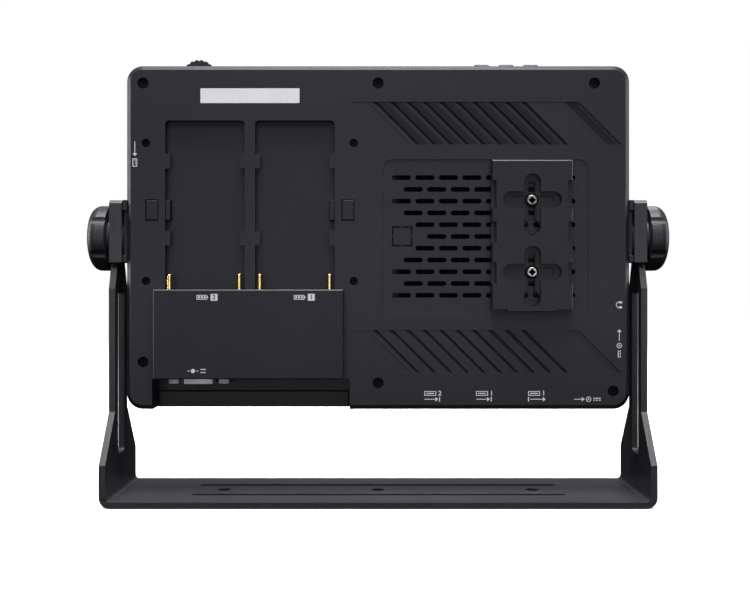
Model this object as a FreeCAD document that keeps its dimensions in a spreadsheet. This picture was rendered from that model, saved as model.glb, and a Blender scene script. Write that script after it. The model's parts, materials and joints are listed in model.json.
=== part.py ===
"""Camera field monitor with twin battery bays, hung in a U-bracket between two clamping knobs.

Millimetres. X runs along the width, Y from the rear (battery side) to the screen, Z up.
The origin lies on the floor under the middle of the bracket's base.
"""
import FreeCAD, Part
import math
import os
import Sketcher

Vector = FreeCAD.Vector
doc = FreeCAD.newDocument("field_monitor")
sheet = doc.addObject("Spreadsheet::Sheet", "size")

# Driving dimensions: name, value, meaning.
DIMENSIONS = [
    ("case_width", 251.0, "case along X"),
    ("case_height", 171.4, "case along Z"),
    ("case_depth", 26.5, "case along Y"),
    ("case_corner", 8.0, "corner radius of the case seen from the rear"),
    ("case_bevel", 2.3, "bevel round the rear face"),
    ("front_round", 1.5, "round of the front frame's outer edge"),
    ("pivot_height", 131.4, "tilt axis above the floor, at the case's middle"),
    ("rear_wall", 2.8, "rear wall of the rear cover"),
    ("side_wall", 2.5, "side walls of cover and frame"),
    ("rear_cover_depth", 15.25, "rear cover along Y, up to the seam"),
    ("fit_gap", 0.1, "clearance between pieces that fit into each other"),
    ("glide_gap", 0.25, "clearance round pieces that slide"),
    ("turn_gap", 0.05, "radial running clearance of shafts"),
    ("glass_margin", 3.0, "frame rim round the cover glass"),
    ("glass_thick", 1.1, "cover glass"),
    ("lip_thick", 3.1, "front lip of the frame, with the glass recess"),
    ("view_width", 219.0, "window in the front lip, along X"),
    ("view_height", 138.0, "window in the front lip, along Z"),
    ("panel_width", 229.5, "display panel along X"),
    ("panel_height", 149.0, "display panel along Z"),
    ("panel_thick", 3.4, "display panel along Y"),
    ("chassis_thick", 1.25, "chassis plate behind the display"),
    ("bay_inset", 19.5, "left bay from the case's left edge"),
    ("bay_width", 39.6, "width of a battery bay"),
    ("bay_gap", 5.2, "web between the bays"),
    ("bay_drop", 27.5, "bay top below the case's top edge"),
    ("bay_round", 2.0, "corner radius of a bay"),
    ("bay_depth", 4.0, "bay floor below the rear face"),
    ("bay_plate_thick", 1.8, "plate that makes the bay floors"),
    ("bay_plate_side", 14.0, "bay plate past the bays, along X"),
    ("bay_plate_end", 4.5, "bay plate above the bays"),
    ("hook_low", 21.9, "lower hook tabs above the bay's end"),
    ("hook_high", 60.2, "upper hook tabs above the bay's end"),
    ("hook_length", 7.3, "hook tab along Z"),
    ("hook_reach", 2.5, "hook tab into the bay"),
    ("hook_thick", 1.6, "hook tab along Y"),
    ("latch_rise", 34.4, "release button above the bay's end"),
    ("latch_length", 10.2, "release button along Z"),
    ("release_offset", 3.6, "release button from the bay's edge"),
    ("release_width", 6.0, "release button along X"),
    ("latch_reach", 2.3, "latch tab into the bay"),
    ("latch_sink", 0.3, "latch tab below the rear face"),
    ("latch_bar", 1.8, "bar that joins button and latch tab, along Y"),
    ("release_travel", 2.0, "press of the release buttons"),
    ("spring_radius", 2.0, "mean radius of a release spring"),
    ("spring_wire", 0.45, "wire diameter of a release spring"),
    ("spring_turns", 6.0, "turns of a release spring"),
    ("stop_inset", 14.5, "stop block from the case's left edge"),
    ("stop_width", 94.0, "stop block along X"),
    ("stop_top", 59.8, "stop block's upper edge above the case's bottom edge"),
    ("stop_proud", 5.0, "stop block above the rear face"),
    ("stop_wall", 2.0, "walls of the stop block"),
    ("stop_bevel", 0.5, "bevel round the stop block's face"),
    ("stop_rim", 4.0, "rear cover's rim under the stop block"),
    ("pin_radius", 1.25, "battery contact pin"),
    ("pin_rise", 7.7, "contact pin above the stop block"),
    ("pin_sunk", 7.5, "contact pin inside the stop block"),
    ("pin_inset", 2.5, "contact pins from the bay's edges"),
    ("terminal_thick", 1.6, "terminal board"),
    ("notch_inset", 13.0, "connector notch from the case's left edge"),
    ("notch_width", 98.3, "connector notch along X"),
    ("notch_height", 15.5, "connector notch above the case's bottom edge"),
    ("notch_depth", 13.5, "connector notch below the rear face"),
    ("notch_wall", 2.0, "walls round the notch"),
    ("sill_height", 8.3, "raised sill in the notch"),
    ("sill_rise", 1.9, "sill above the notch's floor"),
    ("sill_left", 0.4, "sill from the notch's left wall"),
    ("sill_right", 0.4, "sill from the notch's right wall"),
    ("tally_inset", 35.85, "tally socket's middle from the case's left edge"),
    ("tally_sink", 3.75, "tally socket's middle below the rear face"),
    ("tally_ear", 2.9, "flange of the tally socket past its jack screws, along X"),
    ("tally_flange_depth", 12.5, "flange of the tally socket along Y"),
    ("tally_flange_thick", 1.0, "flange of the tally socket"),
    ("tally_shell_width", 16.9, "shell of the tally socket along X"),
    ("tally_shell_depth", 8.4, "shell of the tally socket along Y"),
    ("tally_shell_drop", 2.7, "shell below the notch's ceiling"),
    ("tally_body_height", 8.0, "body of the tally socket above its flange"),
    ("contact_hole", 0.5, "contact hole of the tally socket, radius"),
    ("contact_step", 2.77, "contact holes apart in a row"),
    ("contact_row", 1.42, "contact rows from the socket's middle"),
    ("jack_spacing", 25.0, "jack screws apart"),
    ("jack_hex", 2.77, "corner radius of a jack screw's hexagon"),
    ("jack_shank", 1.45, "shank radius of a jack screw"),
    ("lens_inset", 36.9, "tally-light lens from the case's left edge"),
    ("lens_width", 49.6, "tally-light lens along X"),
    ("lens_drop", 11.4, "tally-light lens below the case's top edge"),
    ("lens_height", 7.6, "tally-light lens along Z"),
    ("light_board_margin", 2.4, "tally-light board round the lens"),
    ("light_board_thick", 1.6, "tally-light board"),
    ("vent_inset", 20.8, "vent panel from the case's right edge"),
    ("vent_width", 102.2, "vent panel along X"),
    ("vent_height", 76.7, "vent panel along Z"),
    ("vent_round", 4.8, "corner radius of the vent panel"),
    ("vent_sink", 0.4, "vent panel below the rear face"),
    ("vent_lift", 0.45, "vent panel's middle above the tilt axis"),
    ("slot_start", 4.4, "first vent slot from the panel's edge"),
    ("slot_length", 9.5, "vent slot along X"),
    ("slot_width", 2.4, "vent slot along Z"),
    ("slot_pitch", 11.69, "vent slots along X"),
    ("slot_row_pitch", 5.86, "rows of vent slots"),
    ("mark_size", 10.2, "engraved corner marks, outer square"),
    ("mark_line", 0.85, "engraved line width"),
    ("mark_depth", 1.2, "engraved line depth"),
    ("mark_arm", 4.6, "arm of an engraved corner"),
    ("plate_inset", 29.5, "mount plate from the case's right edge"),
    ("plate_width", 39.9, "mount plate along X"),
    ("plate_height", 75.1, "mount plate along Z"),
    ("plate_proud", 5.0, "mount plate above the rear face"),
    ("plate_bevel", 0.5, "bevel round the mount plate"),
    ("cross_spacing", 35.6, "cross recesses apart"),
    ("cross_width", 8.3, "arms of a cross recess"),
    ("cross_length", 29.0, "level arm of a cross recess"),
    ("cross_up", 13.0, "upright arm above the cross's middle"),
    ("cross_down", 17.3, "upright arm below the cross's middle"),
    ("cross_depth", 2.6, "cross recess below the plate's face"),
    ("keyway_width", 3.3, "through slot in the upright arm"),
    ("groove_width", 4.6, "shallow groove in the cross recess's floor"),
    ("groove_inset", 3.4, "groove from the ends of the cross recess"),
    ("groove_depth", 0.7, "groove below the cross recess's floor"),
    ("edge_notch_width", 2.2, "notches in the plate's side edges, along X"),
    ("edge_notch_depth", 3.0, "notches in the plate's side edges, along Y"),
    ("edge_notch_long", 14.0, "upper notch along Z"),
    ("edge_notch_short", 10.7, "middle and lower notches along Z"),
    ("edge_notch_top", 10.1, "upper notch below the plate's upper edge"),
    ("edge_notch_pitch", 20.2, "notches apart, start to start"),
    ("corner_notch_width", 7.4, "notches in the plate's lower edge, along X"),
    ("corner_notch_height", 1.5, "notches in the plate's lower edge, along Z"),
    ("plate_screw_radius", 1.95, "shank radius of the mount plate's screws"),
    ("plate_head_radius", 2.5, "head radius of the mount plate's screws"),
    ("plate_head_height", 1.3, "head of the mount plate's screws"),
    ("washer_radius", 3.35, "washer of the mount plate's screws"),
    ("washer_thick", 0.6, "washer of the mount plate's screws"),
    ("insert_radius", 3.0, "threaded insert behind the mount plate"),
    ("insert_flange", 4.0, "flange radius of the threaded insert"),
    ("insert_flange_thick", 1.0, "flange of the threaded insert"),
    ("rib_margin", 18.3, "louvred panels from the case's upper and lower edges"),
    ("rib_height", 21.2, "louvred panels along Z"),
    ("rib_inset", 125.8, "first louvre's wall from the case's right edge"),
    ("rib_pitch", 8.2, "louvres along X"),
    ("rib_floor", 0.5, "flat floor of a louvre"),
    ("rib_ramp", 2.4, "ramp of a louvre"),
    ("rib_depth", 1.3, "louvre below the rear face"),
    ("rib_lead", 12.9, "recess of the louvred panel ahead of the first louvre"),
    ("rib_line_lead", 5.3, "engraved line ahead of the first louvre"),
    ("rib_sink", 0.2, "recess of the louvred panels below the rear face"),
    ("rib_tail", 93.0, "broad band from the first louvre's wall"),
    ("rib_tail_width", 7.2, "broad band along X"),
    ("rib_tail_depth", 0.65, "broad band below the rear face"),
    ("rib_line", 0.6, "engraved line in the louvred panels"),
    ("screw_head", 2.45, "cover screw's head radius"),
    ("screw_bore", 2.75, "counterbore of a cover screw"),
    ("screw_sink", 1.4, "counterbore depth of the cover screws"),
    ("screw_shank", 1.5, "cover screw's shank radius"),
    ("screw_edge_x", 8.5, "corner screws from the case's side edges"),
    ("screw_edge_z", 8.9, "upper screws from the case's upper edge"),
    ("screw_right_x", 17.8, "upper right screw from the case's right edge"),
    ("screw_left_rise", 23.7, "lower left screw above the case's bottom edge"),
    ("screw_mid_rise", 13.2, "lower middle screw above the case's bottom edge"),
    ("screw_right_rise", 9.2, "lower right screw above the case's bottom edge"),
    ("boss_radius", 3.6, "screw bosses of the rear cover"),
    ("small_head", 1.85, "bay screw's head radius"),
    ("small_bore", 2.1, "counterbore of a bay screw"),
    ("small_shank", 1.2, "bay screw's shank radius"),
    ("small_side", 9.5, "bay screws from the bays' outer edges"),
    ("small_drop", 11.2, "upper bay screws below the bay's top"),
    ("small_rise", 4.2, "lower bay screws above the bay's end"),
    ("drive_width", 0.9, "cross drive's arm in a screw head"),
    ("controls_depth", 10.25, "dial and buttons below the rear face"),
    ("dial_inset", 35.0, "dial's middle from the case's left edge"),
    ("dial_radius", 8.6, "dial"),
    ("dial_proud", 4.4, "dial above the case's top"),
    ("dial_width", 5.0, "dial along Y"),
    ("dial_axle_radius", 1.2, "dial axle"),
    ("axle_head_rim", 0.45, "dial axle's head past its pin"),
    ("dial_press", 0.5, "press of the dial"),
    ("knurl_radius", 0.75, "flutes round the dial"),
    ("encoder_width", 11.0, "dial encoder along X"),
    ("encoder_height", 8.6, "dial encoder along Z"),
    ("button_inset", 60.75, "middle button from the case's right edge"),
    ("button_pitch", 12.35, "buttons apart"),
    ("button_length", 7.8, "button along X"),
    ("button_width", 4.0, "button along Y"),
    ("button_proud", 2.3, "button above the case's top"),
    ("button_flange", 1.0, "flange round a button, under the wall"),
    ("button_flange_thick", 1.4, "flange of a button along Z"),
    ("button_travel", 0.6, "press of a button"),
    ("switch_width", 6.0, "switch under a button"),
    ("switch_height", 2.6, "switch under a button, along Z"),
    ("board_thick", 1.6, "printed boards"),
    ("button_board_side", 6.0, "button board past the outer buttons"),
    ("shelf_thick", 2.0, "shelf under the button board"),
    ("board_inset_left", 119.5, "main board's left edge from the case's right edge"),
    ("board_inset_right", 10.0, "main board's right edge from the case's right edge"),
    ("board_rise", 4.3, "main board above the case's bottom edge"),
    ("board_height", 122.0, "main board along Z"),
    ("board_corner_width", 3.0, "main board's cut corner along X"),
    ("board_corner_height", 10.0, "main board's cut corner along Z"),
    ("standoff_height", 4.7, "standoffs between chassis plate and main board"),
    ("standoff_radius", 2.6, "standoff's hexagon"),
    ("standoff_margin", 5.0, "standoffs from the main board's edges"),
    ("board_screw_radius", 1.25, "shank radius of the board screws"),
    ("board_screw_head", 2.4, "head radius of the board screws"),
    ("board_screw_cap", 1.5, "head height of the board screws"),
    ("sink_left", 4.0, "heat sink from the main board's left edge"),
    ("sink_width", 50.0, "heat sink along X"),
    ("sink_height", 64.0, "heat sink along Z"),
    ("sink_base", 2.0, "heat sink's base plate"),
    ("sink_fin", 1.2, "heat sink's fins"),
    ("sink_reach", 8.2, "heat sink along Y"),
    ("video_inset", 72.6, "middle video socket from the case's right edge"),
    ("video_pitch", 25.9, "video sockets apart"),
    ("video_width", 15.0, "video socket along X"),
    ("video_thick", 5.6, "video socket along Y"),
    ("video_length", 11.5, "video socket along Z"),
    ("video_wall", 0.5, "sheet of the video socket"),
    ("video_tongue", 1.4, "tongue of the video socket along Y"),
    ("socket_sink", 0.3, "sockets' mouths below the case's faces"),
    ("power_inset", 21.5, "power jack from the case's right edge"),
    ("power_width", 9.0, "power jack along X and Y"),
    ("power_length", 14.0, "power jack along Z"),
    ("power_bore", 3.2, "power jack's bore"),
    ("power_pin", 1.05, "power jack's pin"),
    ("power_bore_depth", 9.5, "power jack's bore along Z"),
    ("audio_rise", 52.1, "headphone jack above the case's bottom edge"),
    ("audio_width", 6.0, "headphone jack along Y and Z"),
    ("audio_bore", 1.8, "headphone jack's bore"),
    ("audio_length", 14.0, "headphone jack along X"),
    ("audio_collar", 2.9, "collar of the headphone jack"),
    ("output_rise", 32.1, "power output above the case's bottom edge"),
    ("output_width", 8.0, "power output along Y and Z"),
    ("output_bore", 2.75, "power output's bore"),
    ("output_pin", 0.85, "power output's pin"),
    ("output_collar", 3.7, "collar of the power output"),
    ("card_drop", 44.7, "card socket's middle below the case's top edge"),
    ("card_width", 28.0, "card socket along Z"),
    ("card_length", 29.0, "card socket along X"),
    ("card_thick", 3.4, "card socket along Y"),
    ("card_mouth", 24.4, "card slot along Z"),
    ("card_gap", 2.4, "card slot along Y"),
    ("side_plate_thick", 2.1, "side plate on the case"),
    ("hinge_depth", 23.2, "hinge block along Y"),
    ("hinge_below", 12.3, "hinge block below the tilt axis"),
    ("hinge_above", 18.8, "hinge block above the tilt axis"),
    ("hinge_thick", 6.3, "hinge block along X"),
    ("hinge_bevel", 1.6, "bevel of the hinge block's upper edges"),
    ("side_plate_cut", 2.5, "notch in the side plate's edges, along Y"),
    ("side_cut_low", 8.8, "side plate's notch below the tilt axis"),
    ("side_cut_high", 13.6, "side plate's notch above the tilt axis"),
    ("side_screw_low", 8.5, "lower side plate screw below the tilt axis"),
    ("side_screw_high", 14.7, "upper side plate screw above the tilt axis"),
    ("side_screw_head", 2.7, "side plate screw's head radius"),
    ("side_screw_cone", 1.4, "side plate screw's countersink"),
    ("friction_thick", 0.4, "friction washer"),
    ("friction_radius", 10.0, "friction washer"),
    ("friction_gap", 0.1, "between friction washer and side plate"),
    ("knob_washer_thick", 0.5, "washer under the knob"),
    ("knob_washer_radius", 9.0, "washer under the knob"),
    ("knob_gap", 0.1, "between knob and washer"),
    ("nut_reach", 6.5, "pivot nut along X"),
    ("nut_depth", 10.8, "pivot nut along Y"),
    ("nut_end", 3.3, "pivot nut past its screws"),
    ("stud_radius", 3.0, "knob stud"),
    ("stud_hole_gap", 0.35, "stud's clearance in case, plate and bracket"),
    ("stud_sunk", 7.0, "knob stud inside the knob"),
    ("knob_radius", 16.6, "knob over its lobes"),
    ("knob_length", 10.2, "knob along X"),
    ("knob_flute", 2.7, "radius of the grooves between the lobes"),
    ("knob_flute_offset", 18.2, "middle of the grooves from the knob's axis"),
    ("knob_lobe_round", 0.5, "round between lobe and groove"),
    ("knob_end_round", 5.0, "round of the knob's outer end"),
    ("knob_hub", 10.5, "knob's foot on the washer"),
    ("knob_hub_height", 0.9, "knob's foot along X"),
    ("sheet_thick", 3.2, "bracket's sheet"),
    ("bracket_depth", 60.0, "bracket's base along Y"),
    ("bend_radius", 2.1, "inner radius of the bracket's bends"),
    ("flare_low", 20.8, "arm's slant starts above the floor"),
    ("flare_high", 44.4, "arm's slant ends above the floor"),
    ("arm_width", 24.0, "arm along Y"),
    ("shoulder_below", 25.4, "arm narrows below the tilt axis"),
    ("tongue_width", 14.0, "arm's tongue in the hinge block"),
    ("arm_slot_width", 12.0, "slot in the arm along Y"),
    ("arm_slot_low", 22.4, "arm's slot starts above the floor"),
    ("arm_slot_end", 0.8, "arm's slot ends below the shoulder"),
    ("arm_slot_round", 2.0, "corner radius of the arm's slot"),
    ("base_slot_length", 186.8, "slots in the base"),
    ("base_slot_width", 4.6, "slots in the base"),
    ("base_slot_offset", 11.6, "slots in the base from the middle"),
    ("base_hole", 3.3, "holes in the base"),
    ("base_hole_offset", 78.6, "outer holes from the middle"),
    ("hinge_screw_below", 8.2, "hinge block screw below the tilt axis"),
    ("hinge_screw_head", 2.6, "hinge block screw's head radius"),
    ("hinge_screw_cone", 1.3, "hinge block screw's countersink"),
    ("hinge_screw_shank", 1.4, "hinge block screw's shank radius"),
    ("hinge_screw_reach", 5.2, "hinge block screw along X"),
]
SLOT_ROWS = 11
SLOT_COLUMNS = 8
RIB_COUNT = 10
KNOB_LOBES = 6
KNURL_COUNT = 20
SINK_FINS = 9
# Depth by which a cutting tool reaches past the face it opens.
PAST = 1.0
# A cross drive's arm and depth as shares of the screw head's radius and height.
DRIVE_REACH = 0.48
DRIVE_SINK = 0.6
# The rounding of a contact pin's tip as a share of its radius.
PIN_TIP = 0.8
# Least share of an edge's direction along an axis for it to count as straight along it.
STRAIGHT = 0.999


class Size:
    """A length held both as an expression of the sheet's cells and as its present value."""

    def __init__(self, text, value):
        self.text = text
        self.value = value

    def __add__(self, other):
        other = size_of(other)
        return Size("(%s + %s)" % (self.text, other.text), self.value + other.value)

    def __radd__(self, other):
        return size_of(other) + self

    def __sub__(self, other):
        other = size_of(other)
        return Size("(%s - %s)" % (self.text, other.text), self.value - other.value)

    def __rsub__(self, other):
        return size_of(other) - self

    def __mul__(self, number):
        return Size("(%s * %s)" % (self.text, number), self.value * number)

    def __truediv__(self, number):
        return Size("(%s / %s)" % (self.text, number), self.value / number)

    def __neg__(self):
        return Size("(0 - %s)" % self.text, -self.value)


def size_of(value):
    if isinstance(value, Size):
        return value
    return Size(repr(float(value)), float(value))


class Dimensions:
    """One Size for each row of the sheet."""


d = Dimensions()
for row, (name, value, meaning) in enumerate(DIMENSIONS, start=1):
    sheet.set("A%d" % row, name)
    sheet.set("B%d" % row, str(value))
    sheet.set("C%d" % row, meaning)
    sheet.setAlias("B%d" % row, name)
    setattr(d, name, Size("size." + name, value))
doc.recompute()

# Places that several pieces share.
rear = -d.case_depth / 2
front = d.case_depth / 2
left = -d.case_width / 2
right = d.case_width / 2
pivot = d.pivot_height
bottom = pivot - d.case_height / 2
top = pivot + d.case_height / 2
inner_left = left + d.side_wall
inner_right = right - d.side_wall
inner_bottom = bottom + d.side_wall
inner_top = top - d.side_wall
inner_rear = rear + d.rear_wall
seam = rear + d.rear_cover_depth
lip_rear = front - d.lip_thick
chassis_front = lip_rear - d.panel_thick
chassis_rear = chassis_front - d.chassis_thick
bay_left = left + d.bay_inset
bay_right = bay_left + d.bay_width * 2 + d.bay_gap
bay_middle = (bay_left + bay_right) / 2
bay_end = bottom + d.stop_top
bay_top = top - d.bay_drop
bay_floor = rear + d.bay_depth
bay_plate_front = bay_floor + d.bay_plate_thick
stop_face = rear - d.stop_proud
stop_left = left + d.stop_inset
stop_right = stop_left + d.stop_width
notch_left = left + d.notch_inset
notch_right = notch_left + d.notch_width
notch_top = bottom + d.notch_height
notch_floor = rear + d.notch_depth
vent_right = right - d.vent_inset
vent_left = vent_right - d.vent_width
vent_middle = pivot + d.vent_lift
vent_face = rear + d.vent_sink
plate_right = right - d.plate_inset
plate_left = plate_right - d.plate_width
plate_middle = (plate_left + plate_right) / 2
plate_face = rear - d.plate_proud
plate_top = vent_middle + d.plate_height / 2
plate_low = vent_middle - d.plate_height / 2
cross_floor = plate_face + d.cross_depth
controls_y = rear + d.controls_depth
board_front = chassis_rear - d.standoff_height
board_rear = board_front - d.board_thick
board_left = right - d.board_inset_left
board_right = right - d.board_inset_right
board_low = bottom + d.board_rise
board_top = board_low + d.board_height
side_plate_face = right + d.side_plate_thick
hinge_inner = side_plate_face + d.friction_gap + d.friction_thick
hinge_outer = hinge_inner + d.hinge_thick
arm_inner = hinge_outer - d.sheet_thick
hinge_low = pivot - d.hinge_below
hinge_high = pivot + d.hinge_above
knob_foot = hinge_outer + d.knob_washer_thick + d.knob_gap
knob_end = knob_foot + d.knob_length
nut_inner = inner_right - d.nut_reach
stud_hole = d.stud_radius + d.stud_hole_gap
dial_x = left + d.dial_inset
dial_z = top + d.dial_proud - d.dial_radius
lens_left = left + d.lens_inset
lens_top = top - d.lens_drop
tally_x = left + d.tally_inset
tally_y = rear + d.tally_sink
tally_seat = notch_top + d.notch_wall

nodes = {}


def keep(obj, label):
    """Names a finished sub-part; its label names its file."""
    obj.Label = label
    nodes[label] = obj
    return obj


def block(name, x, y, z):
    """Box between a low and a high place along each axis."""
    box = doc.addObject("Part::Box", name)
    for side, axis, (low, high) in zip(("Length", "Width", "Height"), "xyz", (x, y, z)):
        box.setExpression(side, (size_of(high) - low).text)
        box.setExpression("Placement.Base." + axis, size_of(low).text)
    return box


TURNS = {
    "x": FreeCAD.Rotation(Vector(0, 1, 0), 90),
    "y": FreeCAD.Rotation(Vector(1, 0, 0), -90),
    "z": FreeCAD.Rotation(),
}


def stand(obj, axis, centre, low):
    """Turns a round solid to an axis and puts its foot at a place; centre holds the other two axes."""
    obj.Placement = FreeCAD.Placement(Vector(), TURNS[axis])
    others = [other for other in "xyz" if other != axis]
    for other, place in zip(others, centre):
        obj.setExpression("Placement.Base." + other, size_of(place).text)
    obj.setExpression("Placement.Base." + axis, size_of(low).text)
    return obj


def rod(name, axis, centre, span, radius):
    """Cylinder along an axis."""
    cylinder = doc.addObject("Part::Cylinder", name)
    cylinder.setExpression("Radius", size_of(radius).text)
    cylinder.setExpression("Height", (size_of(span[1]) - span[0]).text)
    return stand(cylinder, axis, centre, span[0])


def taper(name, axis, centre, span, radii):
    """Cone along an axis, with its first radius at the low end."""
    cone = doc.addObject("Part::Cone", name)
    cone.setExpression("Radius1", size_of(radii[0]).text)
    cone.setExpression("Radius2", size_of(radii[1]).text)
    cone.setExpression("Height", (size_of(span[1]) - span[0]).text)
    return stand(cone, axis, centre, span[0])


def hexagon(name, axis, centre, span, radius):
    """Six-sided prism along an axis."""
    prism = doc.addObject("Part::Prism", name)
    prism.Polygon = 6
    prism.setExpression("Circumradius", size_of(radius).text)
    prism.setExpression("Height", (size_of(span[1]) - span[0]).text)
    return stand(prism, axis, centre, span[0])


def corner_to_rear(prism):
    """Turns an upright prism so that one of its corners faces the rear."""
    prism.Placement = FreeCAD.Placement(prism.Placement.Base, FreeCAD.Rotation(Vector(0, 0, 1), 90))
    return prism


def fuse(name, *pieces):
    joined = doc.addObject("Part::MultiFuse", name)
    joined.Shapes = list(pieces)
    joined.Refine = True
    return joined


def group(name, *pieces):
    """Separate solids under one name."""
    bunch = doc.addObject("Part::Compound", name)
    bunch.Links = list(pieces)
    return bunch


def cut(name, base, *tools):
    """Base less tools that stand clear of each other."""
    carved = doc.addObject("Part::Cut", name)
    carved.Base = base
    carved.Tool = tools[0] if len(tools) == 1 else group(name + "_tools", *tools)
    carved.Refine = True
    return carved


def common(name, first, second):
    """What two solids share."""
    shared = doc.addObject("Part::MultiCommon", name)
    shared.Shapes = [first, second]
    shared.Refine = True
    return shared


def mirror(name, source, place=0.0):
    """Mirror image across a plane square to X."""
    image = doc.addObject("Part::Mirroring", name)
    image.Source = source
    image.Normal = Vector(1, 0, 0)
    image.setExpression("Base.x", size_of(place).text)
    return image


def scatter(name, template, places):
    """Copies of one solid at several places."""
    doc.recompute()
    copies = []
    for place in places:
        copy = template.Shape.copy()
        copy.translate(Vector(*[size_of(part).value for part in place]))
        copies.append(copy)
    bunch = doc.addObject("Part::Feature", name)
    bunch.Shape = Part.makeCompound(copies)
    return bunch


def edges_of(obj, test):
    """Numbers of the edges of an object that pass a test."""
    doc.recompute()
    return [number for number, edge in enumerate(obj.Shape.Edges, start=1) if test(edge)]


def straight_along(edge, axis):
    if not isinstance(edge.Curve, Part.Line):
        return False
    direction = edge.tangentAt(edge.FirstParameter)
    return abs(getattr(direction, axis)) > STRAIGHT


def lies_at(edge, axis, place):
    """True where the whole edge lies in a plane square to an axis."""
    box = edge.BoundBox
    low = getattr(box, axis.upper() + "Min")
    high = getattr(box, axis.upper() + "Max")
    value = size_of(place).value
    return abs(low - value) < 1e-4 and abs(high - value) < 1e-4


def soften(name, base, kind, amount, test):
    """Fillet or chamfer along the edges that pass a test."""
    eased = doc.addObject("Part::" + kind, name)
    eased.Base = base
    reach = size_of(amount).value
    eased.Edges = [(number, reach, reach) for number in edges_of(base, test)]
    return eased


def sketch_on(body, role, offset):
    """Sketch on one of the body's own origin planes, moved along the plane's normal."""
    plane = [feature for feature in body.Origin.OriginFeatures if feature.Role == role][0]
    sketch = body.newObject("Sketcher::SketchObject", body.Name + "_sketch")
    sketch.AttachmentSupport = [(plane, "")]
    sketch.MapMode = "FlatFace"
    sketch.setExpression("AttachmentOffset.Base.z", size_of(offset).text)
    return sketch


def pin_point(sketch, item, point, places):
    """Ties a point of the sketch to a place."""
    for kind, axis, place in zip(("DistanceX", "DistanceY"), (-2, -1), places):
        place = size_of(place)
        if place.text == "0.0":
            sketch.addConstraint(Sketcher.Constraint("PointOnObject", item, point, axis))
            continue
        number = sketch.addConstraint(Sketcher.Constraint(kind, -1, 1, item, point, place.value))
        sketch.setExpression("Constraints[%d]" % number, place.text)


def draw_outline(sketch, points):
    """Closed outline of straight lines through tied corners."""
    first = sketch.GeometryCount
    corners = [Vector(size_of(x).value, size_of(y).value, 0) for x, y in points]
    count = len(points)
    for index in range(count):
        sketch.addGeometry(Part.LineSegment(corners[index], corners[(index + 1) % count]), False)
    for index in range(count):
        following = first + (index + 1) % count
        sketch.addConstraint(Sketcher.Constraint("Coincident", first + index, 2, following, 1))
    for index in range(count):
        pin_point(sketch, first + index, 1, points[index])


def draw_circle(sketch, centre, radius):
    item = sketch.GeometryCount
    radius = size_of(radius)
    middle = Vector(size_of(centre[0]).value, size_of(centre[1]).value, 0)
    sketch.addGeometry(Part.Circle(middle, Vector(0, 0, 1), radius.value), False)
    pin_point(sketch, item, 3, centre)
    number = sketch.addConstraint(Sketcher.Constraint("Radius", item, radius.value))
    sketch.setExpression("Constraints[%d]" % number, radius.text)


def rectangle(x, z):
    return [(x[0], z[0]), (x[1], z[0]), (x[1], z[1]), (x[0], z[1])]


def padded_outline(name, role, points, offset, length):
    """Body padded from an outline along its plane's normal: -Y from XZ, +X from YZ, +Z from XY."""
    body = doc.addObject("PartDesign::Body", name)
    sketch = sketch_on(body, role, offset)
    draw_outline(sketch, points)
    pad = body.newObject("PartDesign::Pad", name + "_pad")
    pad.Profile = sketch
    pad.setExpression("Length", size_of(length).text)
    return body


def round_edges(body, kind, amount, test):
    """Fillet or chamfer as the body's last feature."""
    tip = body.Tip
    names = ["Edge%d" % number for number in edges_of(tip, test)]
    feature = body.newObject("PartDesign::" + kind, body.Name + "_" + kind.lower())
    feature.Base = (tip, names)
    feature.setExpression("Radius" if kind == "Fillet" else "Size", size_of(amount).text)
    return body


def slab(name, x, y, z, corner):
    """Plate square to Y with rounded corners."""
    body = padded_outline(name, "XZ_Plane", rectangle(x, z), -size_of(y[1]), size_of(y[1]) - y[0])
    return round_edges(body, "Fillet", corner, lambda edge: straight_along(edge, "y"))


def pocket(body, points, offset, depth, towards_screen):
    """Cuts an outline on the XZ plane into the body and checks that it took material away."""
    before = body.Shape.Volume
    sketch = sketch_on(body, "XZ_Plane", offset)
    draw_outline(sketch, points)
    feature = body.newObject("PartDesign::Pocket", body.Name + "_pocket")
    feature.Profile = sketch
    feature.setExpression("Length", size_of(depth).text)
    feature.Reversed = not towards_screen
    doc.recompute()
    if body.Shape.Volume >= before:
        raise RuntimeError("the pocket in %s cut nothing" % body.Name)
    return body


def stadium(name, run_axis, cut_axis, run, across, width, depth):
    """Round-ended slot: runs along one axis, cuts along another, centred across the third."""
    width = size_of(width)
    half = width / 2
    starts = (run[0] + half, run[1] - half)
    third = [axis for axis in "xyz" if axis not in (run_axis, cut_axis)][0]
    spans = {run_axis: starts, cut_axis: depth, third: (across - half, across + half)}
    middle = block(name + "_middle", spans["x"], spans["y"], spans["z"])
    ends = []
    for index, place in enumerate(starts):
        at = {run_axis: place, third: across}
        centre = [at[axis] for axis in "xyz" if axis != cut_axis]
        ends.append(rod("%s_end_%d" % (name, index), cut_axis, centre, depth, half))
    return fuse(name, middle, *ends)


def cross_head_screw(name, head, head_height, shank, length):
    """Pan-head screw along Y, head outwards at -Y and its face at the origin."""
    head_solid = rod(name + "_head", "y", (0, 0), (0, head_height), head)
    rounded = soften(name + "_round", head_solid, "Fillet", head_height / 3, lambda edge: lies_at(edge, "y", 0))
    shank_solid = rod(name + "_shank", "y", (0, 0), (head_height, head_height + length), shank)
    arm = head * DRIVE_REACH
    half = d.drive_width / 2
    depth = (-PAST, head_height * DRIVE_SINK)
    drive = fuse(
        name + "_drive",
        block(name + "_drive_level", (-arm, arm), depth, (-half, half)),
        block(name + "_drive_upright", (-half, half), depth, (-arm, arm)),
    )
    return cut(name, fuse(name + "_blank", rounded, shank_solid), drive)


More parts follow.
